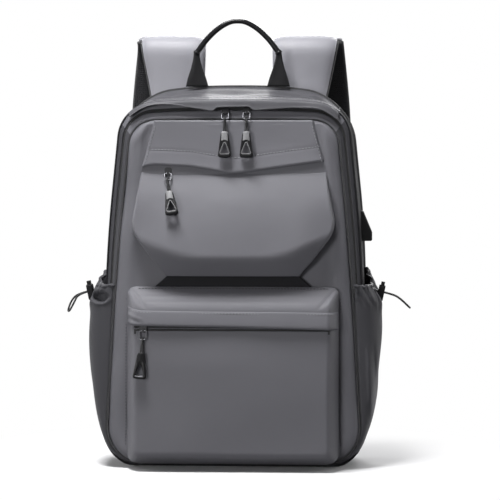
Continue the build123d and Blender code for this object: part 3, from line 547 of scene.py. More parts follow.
def upper_depth(x, z):
    """A full slope above a crease, a facet turned under below it."""
    ax = abs(x)
    down = clip((UP_TOP - z) / 90, 0, 1.1)
    face = 0.4 + 29 * down + 3.4 * sin(clip(down, 0, 1) * pi) * (1 - 0.3 * (ax / UP_HALF) ** 2)
    face -= 5 * step(70, 112, ax) * step(0.25, 0.8, down)
    near = smin(z - UP_LOW, (106.5 - ax) * 0.79 + (z - 258) * 0.62, 26)
    facet = 14.5 + 10 * clip((z - UP_LOW) / 53, 0, 2.5) ** 1.15 + 0.66 * near
    facet = facet - 2.5 * step(40, 110, x) * step(290, 240, z)
    side = 2 + 4.5 * (up_half(z) - ax) + 12 * down
    d = smin(smin(face, facet, 7), side, 6)
    d = d + 0.5 * ripples(x, z, 21, 5, 150) * step(4, 40, UP_TOP - z)
    return d - 0.9 * bell(x + 60, 0, 34) * bell(z, 322, 12)


def upper_pocket():
    z = join([linspace(UP_LOW, UP_CREASE, 52), linspace(UP_CREASE + 1.5, UP_TOP, 44)])[:, None]
    x = up_half(z) * crowded(141, 1.3)
    face = xyz(x, panel_y(z) - upper_depth(x, z), z)
    under = [turned_in(face[0], f, 6, 0.06) for f in (1, 0.7, 0.35)]
    sheet("upper_pocket_cloth", with_sides(join([under, face]), 0.5, 0.4), COATED, "upper_pocket", 1.3)


upper_pocket()


# --- yoke with its pointed flap
YOKE_HALF, YOKE_TOP, YOKE_SEAM = 103, 388, 17.5


def yoke_edge(x):
    """The flap's free lower edge."""
    return bent(x, [-YOKE_HALF, -92, -47, 0, YOKE_HALF], [335, 338.4, 336.2, 328.2, 342.5], 5)


def yoke_half(z):
    return np.interp(z, [326, 336, 385], [YOKE_HALF, 102, 89])


def yoke_y(x, z, behind):
    """The yoke's face, which lifts off towards its free edge."""
    above = z - yoke_edge(x)
    lift = 1.2 + 4.2 * np.exp(-clip(above, 0, None) / 17) + 1.2 * bell(x, 2, 26) * step(30, 0, above)
    lift += -1.5 * bell(above, 0, 1.4) - 0.45 * bell(above, YOKE_SEAM, 1.4)
    uneven = 0.45 * ripples(x, z, 31, 4, 120) * step(8, 30, above) - 1.2 * step(88, 102, abs(x))
    return panel_y(z) - (2.5 + lift + uneven) + behind


def yoke():
    s = linspace(-1, 1, 111)
    rows = []
    for t in linspace(0, 1, 34) ** 1.25:
        x = s * yoke_half(yoke_edge(s * YOKE_HALF) * (1 - t) + YOKE_TOP * t)
        z = yoke_edge(x) * (1 - t) + YOKE_TOP * t
        rows.append(xyz(x, yoke_y(x, z, 2.5), z))
    sheet("yoke_cloth", [rows[0] + [0, 3, 1.5]] + rows, COATED, "yoke_flap", 1.2)

    s = linspace(-1, 1, 81)
    cover_low = UP_SLIT + 1.6
    rows = []
    for t in linspace(0, 1, 6):
        z = cover_low * (1 - t) + (yoke_edge(s * 102) + 9) * t
        rows.append(xyz(s * 101.5, panel_y(z) - 0.25, np.maximum(z, cover_low + t)))
    # a darker copy of the coated cloth: painted shade under the yoke's flap
    sheet("upper_zip_cover", rows, BAND_PAINTED_SHADE, thick=0.6)

    x = linspace(-97, 97, 120)
    z = yoke_edge(x) + YOKE_SEAM
    stitches("yoke_stitching", xyz(x, yoke_y(x, z, 2.1), z))
    z = linspace(340, 384, 30)
    for side, hand in HAND.items():
        x = side * (yoke_half(z) - 2.2)
        stitches(f"yoke_side_stitching_{hand}", xyz(x, yoke_y(x, z, 2.2), z))


yoke()


# --- lower pocket
LP_LOW, LP_TOP, LP_SLIT, LP_HALF = 7, 203, 158, 117.5


def pocket_foot():
    """A dark sheet under the upper pocket, down to the lower pocket's seam: painted shadow of the pocket."""
    t = linspace(0, 1, 9)[:, None]
    x = linspace(-1, 1, 61) * (70 + 20 * t)
    z = (UP_LOW + 3) * (1 - t) + 200.5 * t
    y = panel_y(z) - front_panel_depth(x, z) - 0.7 - 2 * (1 - t) ** 3
    sheet("pocket_foot", xyz(x, y, z), DEEP_PAINTED_SHADE, thick=0.6)


def lower_top(z):
    """The pocket's roof, as a depth."""
    return 5 + (LP_TOP - z) * 1.06


def lower_side(ax):
    return 7 + (LP_HALF - ax) * 2.4


def lower_depth(x, z):
    ax = abs(x)
    open_zip = step(LP_SLIT - 2.6, LP_SLIT - 2.2, z) * step(LP_SLIT + 7.4, LP_SLIT + 7, z) * step(110, 108, ax)
    crown = 1.9 * (1 - (x / 117) ** 2) + 0.7 * ripples(x, z, 41, 5, 150)
    face = 27 + 0.25 + crown * step(LP_SLIT - 3, LP_SLIT - 45, z) - 2.2 * open_zip
    bottom = 12 + (z - LP_LOW) * 1.9
    d = smin(smin(face, lower_top(z), 8), smin(lower_side(ax), bottom, 10), 11)
    # a crease runs in from each upper corner
    below, inwards = LP_TOP - z, 117 - ax
    crease = inwards - below * 0.9
    upper = step(176, 184, z)
    d -= 1.5 * bell(crease, 1, 2.6) * step(34, 8, inwards) * step(0, 5, below) * upper
    d += 0.7 * bell(crease, -5, 3.4) * step(30, 8, inwards) * step(2, 8, below) * upper
    return d - 2.4 * bell(x + 112, 0, 5) * bell(z, 15, 5)


def on_lower(x, z, proud):
    return xyz(x, panel_y(z) - lower_depth(x, z) - proud, z)


def corner_cut(radius, into):
    """What a round corner takes off the half width."""
    return radius - sqrt(radius**2 - clip(into, 0, radius) ** 2)


def lower_pocket():
    z = join([linspace(LP_LOW, 30, 16), linspace(33, 154, 36), [155.2, 155.5, 155.9, 160, 165, 165.5],
              linspace(168, LP_TOP, 32)])[:, None]
    half = LP_HALF + step(60, 7, z) * 2 - corner_cut(9, z - (LP_TOP - 9)) - corner_cut(16, LP_LOW + 16 - z)
    x = half * crowded(131, 1.35)
    face = xyz(x, panel_y(z) - lower_depth(clip(x, -117.4, 117.4), z), z)
    points = join([[turned_in(face[0], f) for f in (1, 0.5)], face, [turned_in(face[-1], 1)]])
    sheet("lower_pocket_cloth", with_sides(points, 1, 0), COATED, "lower_pocket", 1.3)


def band_edge(x):
    return bent(x, [-118, -104, 0, 96, 118], [162.6, 161, 159.7, 157.2, 156.6], 4)


def band_top(x):
    return bent(x, [-118, -103, -60, 0, 60, 118], [182, 178.2, 177.2, 176.8, 176.6, 175.8], 5)


def lower_band():
    """The flap over the lower zip, creased at its left end."""
    t, x = linspace(0, 1, 16)[:, None], linspace(-117, 117, 111)
    z = band_edge(x) * (1 - t) + band_top(x) * t
    proud = 4.8 - 3.2 * t**1.5 - 1.4 * bell(t, 0, 0.06) + 0.4 * ripples(x, z, 51, 4, 90)
    creases = bell(z - 174 + (x + 118) * 0.3, 0, 1.4) - 0.8 * bell(z - 169 + (x + 118) * 0.25, 0, 1.5)
    proud += 1.2 * step(-92, -114, x) * creases
    d = smin(smin(27.4, lower_top(z), 8), lower_side(clip(abs(x), 0, 116.8)), 11) + proud
    face = xyz(x * 1.002, panel_y(z) - d, z)
    points = join([face[:1] + [0, 3.2, 1], face, face[-1:] + [0, 1.5, -0.3]])
    sheet("lower_band_cloth", points, COATED, "lower_pocket_flap", 1.1)


def lower_stitching():
    x = linspace(-113, 113, 140)
    stitches("band_stitching", on_lower(x, band_top(x) - 2.2, 1.9))
    stitches("lower_top_stitching", on_lower(linspace(-107, 107, 130), LP_TOP - 2, 0.4), DARK_THREAD)
    z = linspace(24, 192, 110)
    for side, hand in HAND.items():
        stitches(f"lower_side_stitching_{hand}", xyz(side * 119.8, panel_y(z) - 1.7, z), DARK_THREAD)


pocket_foot()
lower_pocket()
lower_band()
lower_stitching()


# --- the two pocket zips
def pocket_zip(name, slit, half, depth):
    """Both tapes of a zip, and the coil's turns behind the slit."""
    parts = ("low", -1), ("high", 1)
    for part, sign in parts:
        z = slit + linspace(*sorted((sign * 0.8, sign * 6)), 6)[:, None]
        points = xyz(linspace(-half, half, 60), panel_y(z) - depth, z)
        sheet(f"{name}_tape_{part}", points, ZIP_TAPE, name if part == "low" else "", 0.9)
    turns = int(half / 0.8)
    t = linspace(0, 2 * pi * turns, turns * 10)
    x = linspace(-half + 6, half - 6, len(t))
    for part, sign in parts:
        z = slit + sign * (1.35 + 0.62 * cos(t))
        tube(f"{name}_coil_{part}", xyz(x, panel_y(z) - depth + 1.9 + 0.62 * sin(t), z), 0.36, COIL, sides=4)


pocket_zip("lower_zip", LP_SLIT, 108, 27)
pocket_zip("upper_zip", UP_SLIT, 92, 0)


# --- rain flap over the main zip
FLAP_BEND = 0.45


def flap_low(x):
    """The flap's free edge, cut out above the two pulls."""
    edge = bent(x, [-118, -108, -92, -75, -22, 23, 64, 94, 108, 118],
                [390, 399, 405.5, 406.4, 397.6, 398.6, 401.6, 401.4, 394, 386], 5)
    return edge + bent(x, [-23, -18.5, 17, 22], [0, 4.6, 4.6, 0], 1.2)


def rain_flap():
    """From the top cloth's seam, over the edge, down to the free lower edge."""
    x = join([linspace(-117, -22, 60), linspace(-21.5, 21.5, 40), linspace(22, 117, 60)])
    z_roof = np.interp(abs(x), *edge_half[::-1][:30].T)
    z_back = np.interp(abs(x), *back_half[::-1][:32].T)
    y_edge = edge_y(z_roof)
    rows = []
    for t in linspace(0, 1, 16):
        lean, fall = min(t / FLAP_BEND, 1), max((t - FLAP_BEND) / (1 - FLAP_BEND), 0)
        y = y_edge + 14 * (1 - lean) - 5.2 * lean - 4.2 * fall
        top = z_roof + (z_back - z_roof) * clip((y - y_edge) / (REAR_SEAM_Y - y_edge), 0, 1) + 1.8 * (1 - lean * 0.4)
        z = top * (1 - fall) + flap_low(x) * fall
        rows.append(xyz(x, y - 1.2 * ripples(x, z, 61, 4, 60) * t * 0.5 - 1.5 * bell(t, 0.55, 0.25), z))
    # in a darker copy of the coated cloth: painted shade
    sheet("rain_flap_cloth", rows + [rows[-1] + [0, 3, 0.8]], FLAP_PAINTED_SHADE, "rain_flap", 1, flip=True)
    stitches("rain_flap_stitching", rows[1][8:-8] + [0, 0, 0.3])


rain_flap()


# --- side pockets
RIM = [0, 0.08, 0.3, 0.55, 0.8, 1], [203.5, 203, 199.5, 203, 214, 219]
REACH = ([0, 6, 18, 36, 54, 72, 99, 130, 165, 186, 200, 215, 230],
         [118, 124, 140, 149, 155, 159, 162.5, 164, 164, 163, 160, 157, 156])


def side_pocket(side):
    """A pouch from the front seam round to the back seam, gathered at its elastic rim."""
    theta = linspace(0, pi, 121)
    u = (1 - cos(theta)) / 2
    bulge = clip(sin(theta), 0, 1) ** 0.66
    rim = through(u, *RIM) + 1.6 * sin(theta * 9 + 1) * bulge
    rows = []
    for v in join([linspace(0, 0.75, 34), linspace(0.762, 1, 34)]):
        z = 5 + (rim - 5) * v
        base_x = (half_width(front_half, z) + 2.2) * (1 - u) + (half_width(back_half, z) - 1) * u
        x = base_x + clip(through(z, *REACH) - base_x, 0.4, None) * bulge
        y = 12.5 - 48 * power(cos(theta), 0.74) + 0.035 * z * (1 - u)
        gather = 1.5 * sin(theta * 17 + 0.6) + 0.9 * sin(theta * 29 + 2)
        x = x + bulge * (step(0.84, 1, v) * gather - 3 * bell(v, 1, 0.045) + 2.2 * bell(v, 0.93, 0.05))
        x = x + 1.3 * ripples(theta * 26, z * 0.35, 71 + side, 5, 34) * bulge * step(20, 90, z)
        # room for the cord lock
        x = x - 3.2 * bell(y, 8, 9) * step(176, 190, z)
        front_side = step(8, -8, y)
        if side < 0:
            far = sqrt(((x - 150.5) / 9) ** 2 + ((z - 190) / 5.6) ** 2)
            dent = np.exp(-far**3.2) * front_side
            lip = bell(far, 1.28, 0.24) * front_side * (0.45 + 0.55 * step(193, 187, z))
            y = y + 12 * dent - 2.4 * lip
            z = z - 1.5 * dent
        else:
            across = x + (z - 120) * 0.05
            fold = (bell(across, 151, 2.6) - 1.1 * bell(across, 157, 2.2)) * step(30, 60, z) * step(150, 105, z)
            crumple = step(178, 192, z) * sin((x - 136) * 0.75 + (z - 190) * 0.35)
            y = y - front_side * (3 * fold + 1.5 * crumple)
        rows.append(xyz(side * x, y, z))
    inner = [rows[-1] - [side * shrink, 0, drop] for drop, shrink in ((1.5, 1.6), (8, 2.2), (26, 2.4))]
    hand = HAND[side]
    # pouch and hem in a darker copy of the coated cloth: painted shade
    sheet(f"side_pocket_cloth_{hand}", rows + inner, COATED_PAINTED_SHADE, f"side_pocket_{hand}", 0.9, flip=side > 0)
    hem = rows[-1] - [side * 0.6, 0, 0.4]
    tube(f"side_pocket_hem_{hand}", hem, 1.9 + 0.5 * sin(theta * 23 + 0.6), COATED_PAINTED_SHADE)
    tube(f"side_pocket_seam_{hand}", array(rows)[4:, 0] - [0, 0.4, 0], 0.9, PIPING, sides=6)


side_pocket(-1)
side_pocket(1)


# --- back
PAD_X, PAD_Z, PAD_HALF, PAD_TALL, PAD_CORNER = 56, 205, 42, 165, 24
CHANNELS, CHANNEL_SLOPE = (95, 150, 205, 260, 315), 0.25
SWELL_PRESSURE, SWELL_FRAMES, SWELL_CAP = 4, 20, 5


def back_cloth():
    centre = array([0, 210])
    rows = []
    for f in linspace(1, 0.0005, 22):
        x, z = (centre + (back_loop - centre) * f).T
        rows.append(xyz(x, 64 + 1.8 * sqrt(1 - f**6), np.maximum(z, 0.8)))
    sheet("back_cloth", rows, BLACK_FABRIC, "back_panel", 1, wrap=True)


def channel_gap(x, z):
    """The distance to the nearest sewn channel."""
    slope = abs(abs(x) - PAD_X) * CHANNEL_SLOPE
    return np.min([abs(z - g - slope) for g in CHANNELS], axis=0)


def modified(points, faces, kind, prepare=None, **settings):
    """What one modifier makes of a mesh."""
    obj = mesh_object("draft", points, faces)
    made = configure(obj.modifiers.new("draft", kind), **settings)
    if prepare:
        prepare(obj, made)
    mesh = bpy.data.meshes.new_from_object(obj.evaluated_get(bpy.context.evaluated_depsgraph_get()))
    points = array([v.co[:] for v in mesh.vertices]) / MM
    faces = [tuple(f.vertices) for f in mesh.polygons]
    bpy.data.meshes.remove(mesh)
    bpy.data.objects.remove(obj)
    return points, faces


def pad_outline(v, width, height):
    edge = PAD_CORNER / PAD_TALL
    corner = clip((abs(v) - (1 - edge)) / edge, 0, 1)
    return width - PAD_CORNER * (1 - sqrt(1 - corner**2)), PAD_Z + v * height


def pad_form():
    """One pad, swollen by a short cloth run between its sewn channels."""
    a = turn(40)
    width, z = pad_outline(linspace(-1, 1, 121)[:, None], PAD_HALF - 1.5, PAD_TALL - 2)
    points = xyz(PAD_X + width * power(cos(a), 0.5), 69.7 + 3.5 * power(sin(a), 0.7), z)
    points, faces = modified(points, closed_faces(121, 40), "REMESH", mode="VOXEL", voxel_size=0.0042)
    gap = channel_gap(points[:, 0], points[:, 2])
    points[:, 1] -= 3 * bell(gap, 0, 3.2) * step(67.5, 71.5, points[:, 1])

    def swell(obj, made):
        sewn = obj.vertex_groups.new(name="sewn")
        sewn.add([int(i) for i in np.nonzero((points[:, 1] < 67.6) | (gap < 2.2))[0]], 1, "REPLACE")
        cloth = configure(made.settings, vertex_group_mass="sewn", use_pressure=True, quality=5)
        cloth.uniform_pressure_force = SWELL_PRESSURE
        cloth.effector_weights.gravity = 0
        configure(made.point_cache, frame_start=1, frame_end=SWELL_FRAMES)
        for f in range(1, SWELL_FRAMES + 1):
            scene.frame_set(f)

    move = modified(points, faces, "CLOTH", swell)[0] - points
    scene.frame_set(1)
    far = np.linalg.norm(move, axis=1)[:, None]
    points = points + move * np.minimum(1, SWELL_CAP / np.maximum(far, 1e-6))
    points, faces = modified(points, faces, "SUBSURF", levels=1, render_levels=1)
    x, y, z = points.T
    y = y - 1 * bell(channel_gap(x, z), 0, 1.2) * step(68, 71, y)
    return xyz(x, np.maximum(y, BACK_Y + 0.1), z), faces


def back_pad(side, form, form_faces):
    hand = HAND[side]
    faces = form_faces if side > 0 else [f[::-1] for f in form_faces]
    pad = add_piece(f"back_pad_cloth_{hand}", form * [side, 1, 1], faces, AIR_MESH, f"back_pad_{hand}")
    width, z = pad_outline(join([linspace(-1, 1, 90), linspace(1, -1, 90)]), PAD_HALF, PAD_TALL)
    out = np.repeat([1, -1], 90)
    rim = xyz(side * (PAD_X + out * width), BACK_Y + 0.9, z)
    tube(f"back_pad_binding_{hand}", rim, 1.5, PIPING, closed=True)
    xs = linspace(PAD_X - 36, PAD_X + 36, 37)
    for number, g in enumerate(CHANNELS):
        zs = g + abs(xs - PAD_X) * CHANNEL_SLOPE
        near = [form[(abs(form[:, 0] - a) < 3) & (abs(form[:, 2] - b) < 1.6), 1] for a, b in zip(xs, zs)]
        ys = [np.max(y) if len(y) else 69 for y in near]
        stitches(f"back_pad_channel_{hand}_{number}", xyz(side * xs, ys, zs), DARK_THREAD)


back_cloth()
pad = pad_form()
back_pad(-1, *pad)
back_pad(1, *pad)


# --- shoulder straps
STRAP_PITCH, STRAP_THICK = 5, 9


def strap_seam():
    """The strap's underside in (y, z), from its root over the crest and down."""
    path = rounded([(79, 404), (83, 482), (117, 482), (117, 300), (100, 148)], [15, 15, 300], 9, closed=False)
    long = run_length(path)[-1]
    return at_length(path, linspace(0, long, int(long / STRAP_PITCH)))


def strap_sides(y, z):
    """A strap's inner and outer edge."""
    up, down = [396, 449, 500], [148, 270, 390, 500]
    edges = ([44, 41, 40], [64, 62, 54, 40]), ([97, 108, 118], [112, 128, 128, 118])
    return [where(y < 100, through(z, up, a), through(z, down, b)) for a, b in edges]


def strap(side, seam):
    hand = HAND[side]
    ahead = unit(np.gradient(seam, axis=0))
    normal = np.stack([-ahead[:, 1], ahead[:, 0]], 1)
    inner, outer = strap_sides(*seam.T)
    middle, half = (inner + outer) / 2, (outer - inner) / 2
    run = np.arange(len(seam)) * STRAP_PITCH
    half = half * (0.62 + 0.38 * step(run[-1], run[-1] - 22, run))
    # the sewn root is pressed flat on to the back
    root = 0.32 + 0.68 * step(6, 34, run)

    def swinging(obj):
        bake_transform(obj)
        return obj

    def layer(piece, near, far, crown, mat, nodes, corner):
        a = turn(28)
        across, out = power(cos(a), 0.35), power(sin(a), corner)
        d = (near + far) / 2 + out * (far - near) / 2 - where(out > 0, crown * across**4, 0)
        d = d + 0.35 * ripples(run[:, None], across * 30, 81, 4, 60)
        d = STRAP_THICK - (STRAP_THICK - d) * root[:, None]
        x = side * (middle[:, None] + across * half[:, None])
        points = xyz(x, seam[:, :1] + normal[:, :1] * d, seam[:, 1:] + normal[:, 1:] * d)
        faces = closed_faces(len(seam), 28, flip=side > 0)
        return swinging(add_piece(f"{piece}_{hand}", points, faces, mat, nodes, body=None))

    # the strap's top in a lighter copy of the coated cloth: painted light
    pad = layer("strap_top", 0, STRAP_THICK, 2.6, STRAP_PAINTED_LIGHT, f"strap_pad_{hand}", 0.55)
    layer("strap_mesh_layer", -2.2, 0.4, 0, AIR_MESH, f"strap_mesh_{hand}", 0.7)
    low = seam + normal * (STRAP_THICK - 8.8 * root)[:, None]
    # the inner binding takes the same lighter copy, painted light
    for edge, sign, radius, mat in (("outer", 1, 1.7, PIPING), ("inner", -1, 1.1, STRAP_PAINTED_LIGHT)):
        path = xyz(side * (middle + sign * (half + 0.4)), *low.T)
        swinging(tube(f"strap_binding_{edge}_{hand}", path, radius, mat, body=None, slot="piping_fabric"))
    for number, height in enumerate((6, 11)):
        k = int(height / STRAP_PITCH)
        x = middle[k] + linspace(-0.9, 0.9, 30) * half[k]
        face = seam[k] + normal[k] * (STRAP_THICK - 11.3 * root[k])
        stitches(f"strap_root_stitching_{hand}_{number}", xyz(side * x, *face))


seam_path = strap_seam()
strap(-1, seam_path)
strap(1, seam_path)
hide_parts("strap_roots")


# --- handle
HANDLE_Y, TAB_FOOT, TAB_TOP = 54, 428.5, 468


def handle():
    xs = [-47.5, -44, -36, -24, -11, 0, 11, 24, 36, 44, 47.5]
    zs = [467, 472, 482.5, 494, 501.8, 503.6, 501.8, 494, 482.5, 472, 467]
    t = linspace(0, 10, 90)
    path = xyz(through(t, range(11), xs), HANDLE_Y, through(t, range(11), zs))
    lean = abs(unit(np.gradient(path, axis=0))[:, 2])
    rubber = {"mat": RUBBER, "sides": 16, "body": "carry_handle"}
    tube("handle_tube", path, 3 + 0.8 * lean, nodes="handle_grip", flat=0.9, **rubber)
    for hand, end, inside in (("left", path[0], path[1]), ("right", path[-1], path[-2])):
        ahead = unit(inside - end)
        tube(f"handle_cuff_{hand}", [end - ahead * 1.2, end + ahead * 2.2], 4, **rubber)
    v, a = linspace(0, 1, 18)[:, None], turn(26)
    half = through(v, [0, 0.25, 0.55, 0.8, 1], [13.2, 10.6, 6.6, 4.2, 3.2])
    thick = through(v, [0, 0.5, 1], [1.6, 2.2, 3])
    for side, hand in HAND.items():
        fold = 1.3 * cos(a * 3 + 1 + side) * v * (1 - v) * 3
        x = side * (47 + 0.3 * v * (1 - v) + 0.5 * v) + power(cos(a), 0.8) * half
        points = xyz(x, HANDLE_Y + sin(a) * (thick + fold), TAB_FOOT + (TAB_TOP - TAB_FOOT) * v)
        add_piece(f"handle_tab_{hand}", points, closed_faces(18, 26), TAB_FABRIC, "handle_tabs" if side < 0 else "",
                  body="carry_handle")


handle()


# --- finishes of the carried-over nodes
FINISH = {"base_board": BOARD, "laptop_sleeve": FOAM, "usb_housing": PORT, "usb_shell": STEEL, "usb_tongue": PLASTIC}
for pull in ("main_left", "main_right", "upper", "lower"):
    FINISH[f"{pull}_slider"] = SLIDER
    FINISH[f"{pull}_pull_ring"] = RING
for hand in HAND.values():
    FINISH[f"cord_lock_{hand}"] = FINISH[f"lock_button_{hand}"] = FINISH[f"ladder_lock_{hand}"] = PLASTIC
    FINISH[f"lock_spring_{hand}"] = STEEL
for name, mat in FINISH.items():
    mesh = frame["nodes"][name].data
    mesh.materials.clear()
    mesh.materials.append(mat)


# --- zip pulls
PULL_REACH, CORD_RADIUS = 9.5, 0.95
GRIP_ENDS, GRIP_HALVES, GRIP_THICK = (-15, -43), (4.25, 7.6), 2.7


def cast_out(inner, centre, outer):
    """Where lines from a centre through an inner outline meet an outer one."""
    d = unit(inner - centre)[:, None]
    start, edge = outer - centre, np.roll(outer, -1, 0) - outer
    det = d[..., 1] * edge[:, 0] - d[..., 0] * edge[:, 1]
    det = where(abs(det) < 1e-9, np.inf, det)
    k = (start[:, 1] * edge[:, 0] - start[:, 0] * edge[:, 1]) / det
    m = (d[..., 0] * start[:, 1] - d[..., 1] * start[:, 0]) / det
    hit = (k > 0) & (abs(m - 0.5) < 0.5 + 1e-6)
    return centre + d[:, 0] * np.max(where(hit, k, 0), axis=1)[:, None]


def zip_pull(name, ring_lean, cord_lean, bright, sway=0):
    """A looped cord, a moulded grip, the sleeve over it and its opening's edge."""
    joint = next(j for j in frame["joints"] if j["name"] == f"{name}_pull_swing")
    ring_lean, cord_lean = radians(ring_lean), radians(cord_lean)
    bar = array(joint["pos_m"]) / MM - PULL_REACH * array([0, sin(ring_lean), cos(ring_lean)])
    up = array([0, sin(cord_lean), cos(cord_lean)])
    out = array([0, -cos(cord_lean), sin(cord_lean)])
    body = f"{name}_pull"

    def at(x, h, o):
        """Points from across, up and out of the ring's lower bar."""
        swung = np.radians(sway) * step(0, -6, h)
        return bar + xyz(x * cos(swung) - h * sin(swung), x * sin(swung) + h * cos(swung), o) @ [[1, 0, 0], up, out]

    # the cord goes over the ring's lower bar, its strands side by side into the sleeve
    t = linspace(0, 1, 14)[:-1]
    rise, side, front = -17 + 17 * t, -1.25 + 0.75 * step(0, 1, t), 1.65 * step(0, 0.8, t)
    arc = linspace(0, pi, 9)
    x = join([side, linspace(-0.5, 0.5, 9), -side[::-1]])
    h = join([rise, 1.65 * sin(arc), rise[::-1]])
    o = join([front, 1.65 * cos(arc), -front[::-1]])
    tube(f"{name}_cord_loop", at(x, h, o), CORD_RADIUS, PULL_CORD, f"{name}_pull_cord", sides=10, body=body)

    # moulded grip: a thick rim round a three-sided opening
    count = 72
    (top, foot), (narrow, wide) = GRIP_ENDS, GRIP_HALVES
    outer = rounded([(-narrow, top), (-wide, foot), (wide, foot), (narrow, top)], 2.2)
    inner = evenly(rounded([(0, top - 11), (-5, foot + 3.6), (5, foot + 3.6)], 1.3), count)
    outer = cast_out(inner, array([0, foot + 8]), outer)
    outer[:, 1] += where(outer[:, 1] < foot + 1.5, -0.9 * (1 - (outer[:, 0] / wide) ** 2), 0)
    section = turn(18)
    mid, half = (inner + outer) / 2, (outer - inner) / 2
    x, h = np.moveaxis(mid[:, None] + half[:, None] * power(cos(section), 0.6)[:, None], -1, 0)
    o = GRIP_THICK * power(sin(section), 0.6) * (1 - 0.12 * step(-40, -16, h))
    add_piece(f"{name}_grip", at(x, h, o), grid_faces(count, 18, True, True), GRIP, f"{name}_pull_grip", body=body)

    # ribbed sleeve over the top of the grip
    v, a = linspace(0, 1, 45)[:, None], turn(28)
    rib, taper = cos(v * 14 * 2 * pi), 0.9 * bell(v, 0, 0.05)
    x = power(cos(a), 0.7) * (3.9 + 1.35 * v + 0.16 * rib - taper)
    cut_up = where(sin(a) > 0, 2.6 * (1 - abs(cos(a))) * v**3, 0)
    o = power(sin(a), 0.7) * (2.95 + 0.12 * rib - taper)
    points = at(x, top + 0.3 - 11.6 * v + cut_up, o)
    add_piece(f"{name}_sleeve", points, closed_faces(45, 28), SLEEVE if bright else GRIP, body=body)

    # bright edge round the opening, or along its foot
    if bright:
        edge = evenly(rounded([(0, top - 9.8), (-5.9, foot + 2.9), (5.9, foot + 2.9)], 1.6), 60)
        tube(f"{name}_grip_edge", at(*edge.T, 2.45), 0.42, SLEEVE, closed=True, body=body)
    else:
        x = linspace(-4.6, 4.6, 16)
        tube(f"{name}_grip_edge", at(x, foot + 2.6 - 0.6 * (1 - (x / 4.6) ** 2), 2.3), 0.95, RING, body=body)


zip_pull("main_left", 40, 9, True)
zip_pull("main_right", 40, 9, True)
zip_pull("upper", 40, 28.3, True, 9)
zip_pull("lower", 10, 4.5, False, -5)


# --- webbing and its patches
# how high a patch stands at each share of its outline
PATCH_RISE = {1: 0, 0.992: 0.75, 0.975: 1, 0.95: 1, 0.93: 0.86, 0.9: 0.97, 0.7: 1, 0.4: 1, 0.0005: 1}
WEBBING_HALF, WEBBING_TURN = 12.4, 3.5


def patch(name, corners, thick, nodes=""):
    """A folded fabric patch sewn flat on the back."""
    loop = evenly(rounded(corners, 4), 120)
    centre = loop.mean(0)
    rows = []
    for f, lift in PATCH_RISE.items():
        x, z = (centre + (loop - centre) * f).T
        rows.append(xyz(x, BACK_Y + thick * lift + 0.25 * ripples(x, z, 91, 4, 40) * (f < 0.95), z))
    sheet(name, rows, BLACK_FABRIC, nodes, 0.7, wrap=True)
    x, z = (centre + (join([loop, loop[:1]]) - centre) * 0.93).T
    stitches(f"{name}_stitching", xyz(x, BACK_Y + thick * 0.9, z))


def webbing(side):
    """Webbing from the anchor up to the ladder lock, over its bar and down as a tail."""
    hand = HAND[side]
    strap_body, mirror = f"strap_{hand}", array([side, 1, 1])
    lock, foot = array([92, 101, 127]), array([121, 73.6, 44])
    long = np.linalg.norm(lock - foot)
    up = (lock - foot) / long
    across = unit(array([1, 0, 0]) - up * up[0])
    out = np.cross(-across, up)
    a = linspace(-WEBBING_HALF, WEBBING_HALF, 19)[:, None]

    def strip(piece, heights, outs, body, nodes=""):
        rows = lock + up * heights[:, None] + out * outs[:, None]
        rows = rows[:, None] + across * a + out * 0.11 * cos(a / WEBBING_HALF * pi * 5)
        x, y, z = np.moveaxis(rows, -1, 0)
        # near its foot it lies on the back
        y = where(z < 60, -smin(-y, -69.4, 2), y)
        points = xyz(side * x, y, z)
        return sheet(f"{piece}_{hand}", points, WEBBING, nodes, 1.5, flip=side > 0, body=body, offset=0)

    heights = linspace(-long - 17, 0.4, 60)
    run = strip("webbing_run", heights, -WEBBING_TURN + 0.5 * sin((heights + long) / long * pi), None,
                f"strap_webbing_{hand}")
    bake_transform(run)
    bend = linspace(pi, 0, 15)
    rise = linspace(28, 10.4, 10)
    strip("strap_loop", join([rise, 10.35 - 3.6 * sin(bend), rise[::-1]]),
          join([0 * rise - 3.6, 3.6 * cos(bend), 0 * rise + 3.6]), strap_body)
    fall = linspace(0.4, -55, 34)[1:]
    strip("webbing_tail", join([0.4 + WEBBING_TURN * sin(bend), fall]),
          join([WEBBING_TURN * cos(bend), WEBBING_TURN + 0.003 * (fall - 0.4) ** 2]), strap_body)
    hem = lock + up * -51 + out * (WEBBING_TURN + 0.003 * 51**2 + 1.6) + across * linspace(-11.4, 11.4, 30)[:, None]
    stitches(f"webbing_hem_{hand}", hem * mirror, DARK_THREAD, body=strap_body)
    corners = array([(104, 10), (130, 32), (134, 50), (108, 56), (88, 10)]) * [side, 1]
    patch(f"webbing_anchor_{hand}", list(corners[::side]), 2.2, "webbing_anchors" if side > 0 else "")


webbing(-1)
webbing(1)
patch("strap_patch_cloth", [(-92, 380), (92, 380), (106, 418), (-106, 418)], 2.7, "strap_patch")


# --- elastic cords
DIP = radians(12)
EYELET = 157.6, 8, 197
# each route goes out of the eyelet, round its end and back: along the bag, up and out
RIGHT = [(2, 0, -1.5), (2, 0, 20.5), (3.2, -3.2, 30.5), (3.1, -11.2, 43.2)]
RIGHT += [(-along, up, out) for along, up, out in RIGHT[::-1]]
LEFT = [(2, 0, -1.5), (2, 0, 21.5), (3.2, -5.5, 31.5), (3.4, -17, 39),
        (-3.4, -18.5, 36.5), (-3.2, -9.5, 29), (-2, 0, 21.5), (-2, 0, -1.5)]


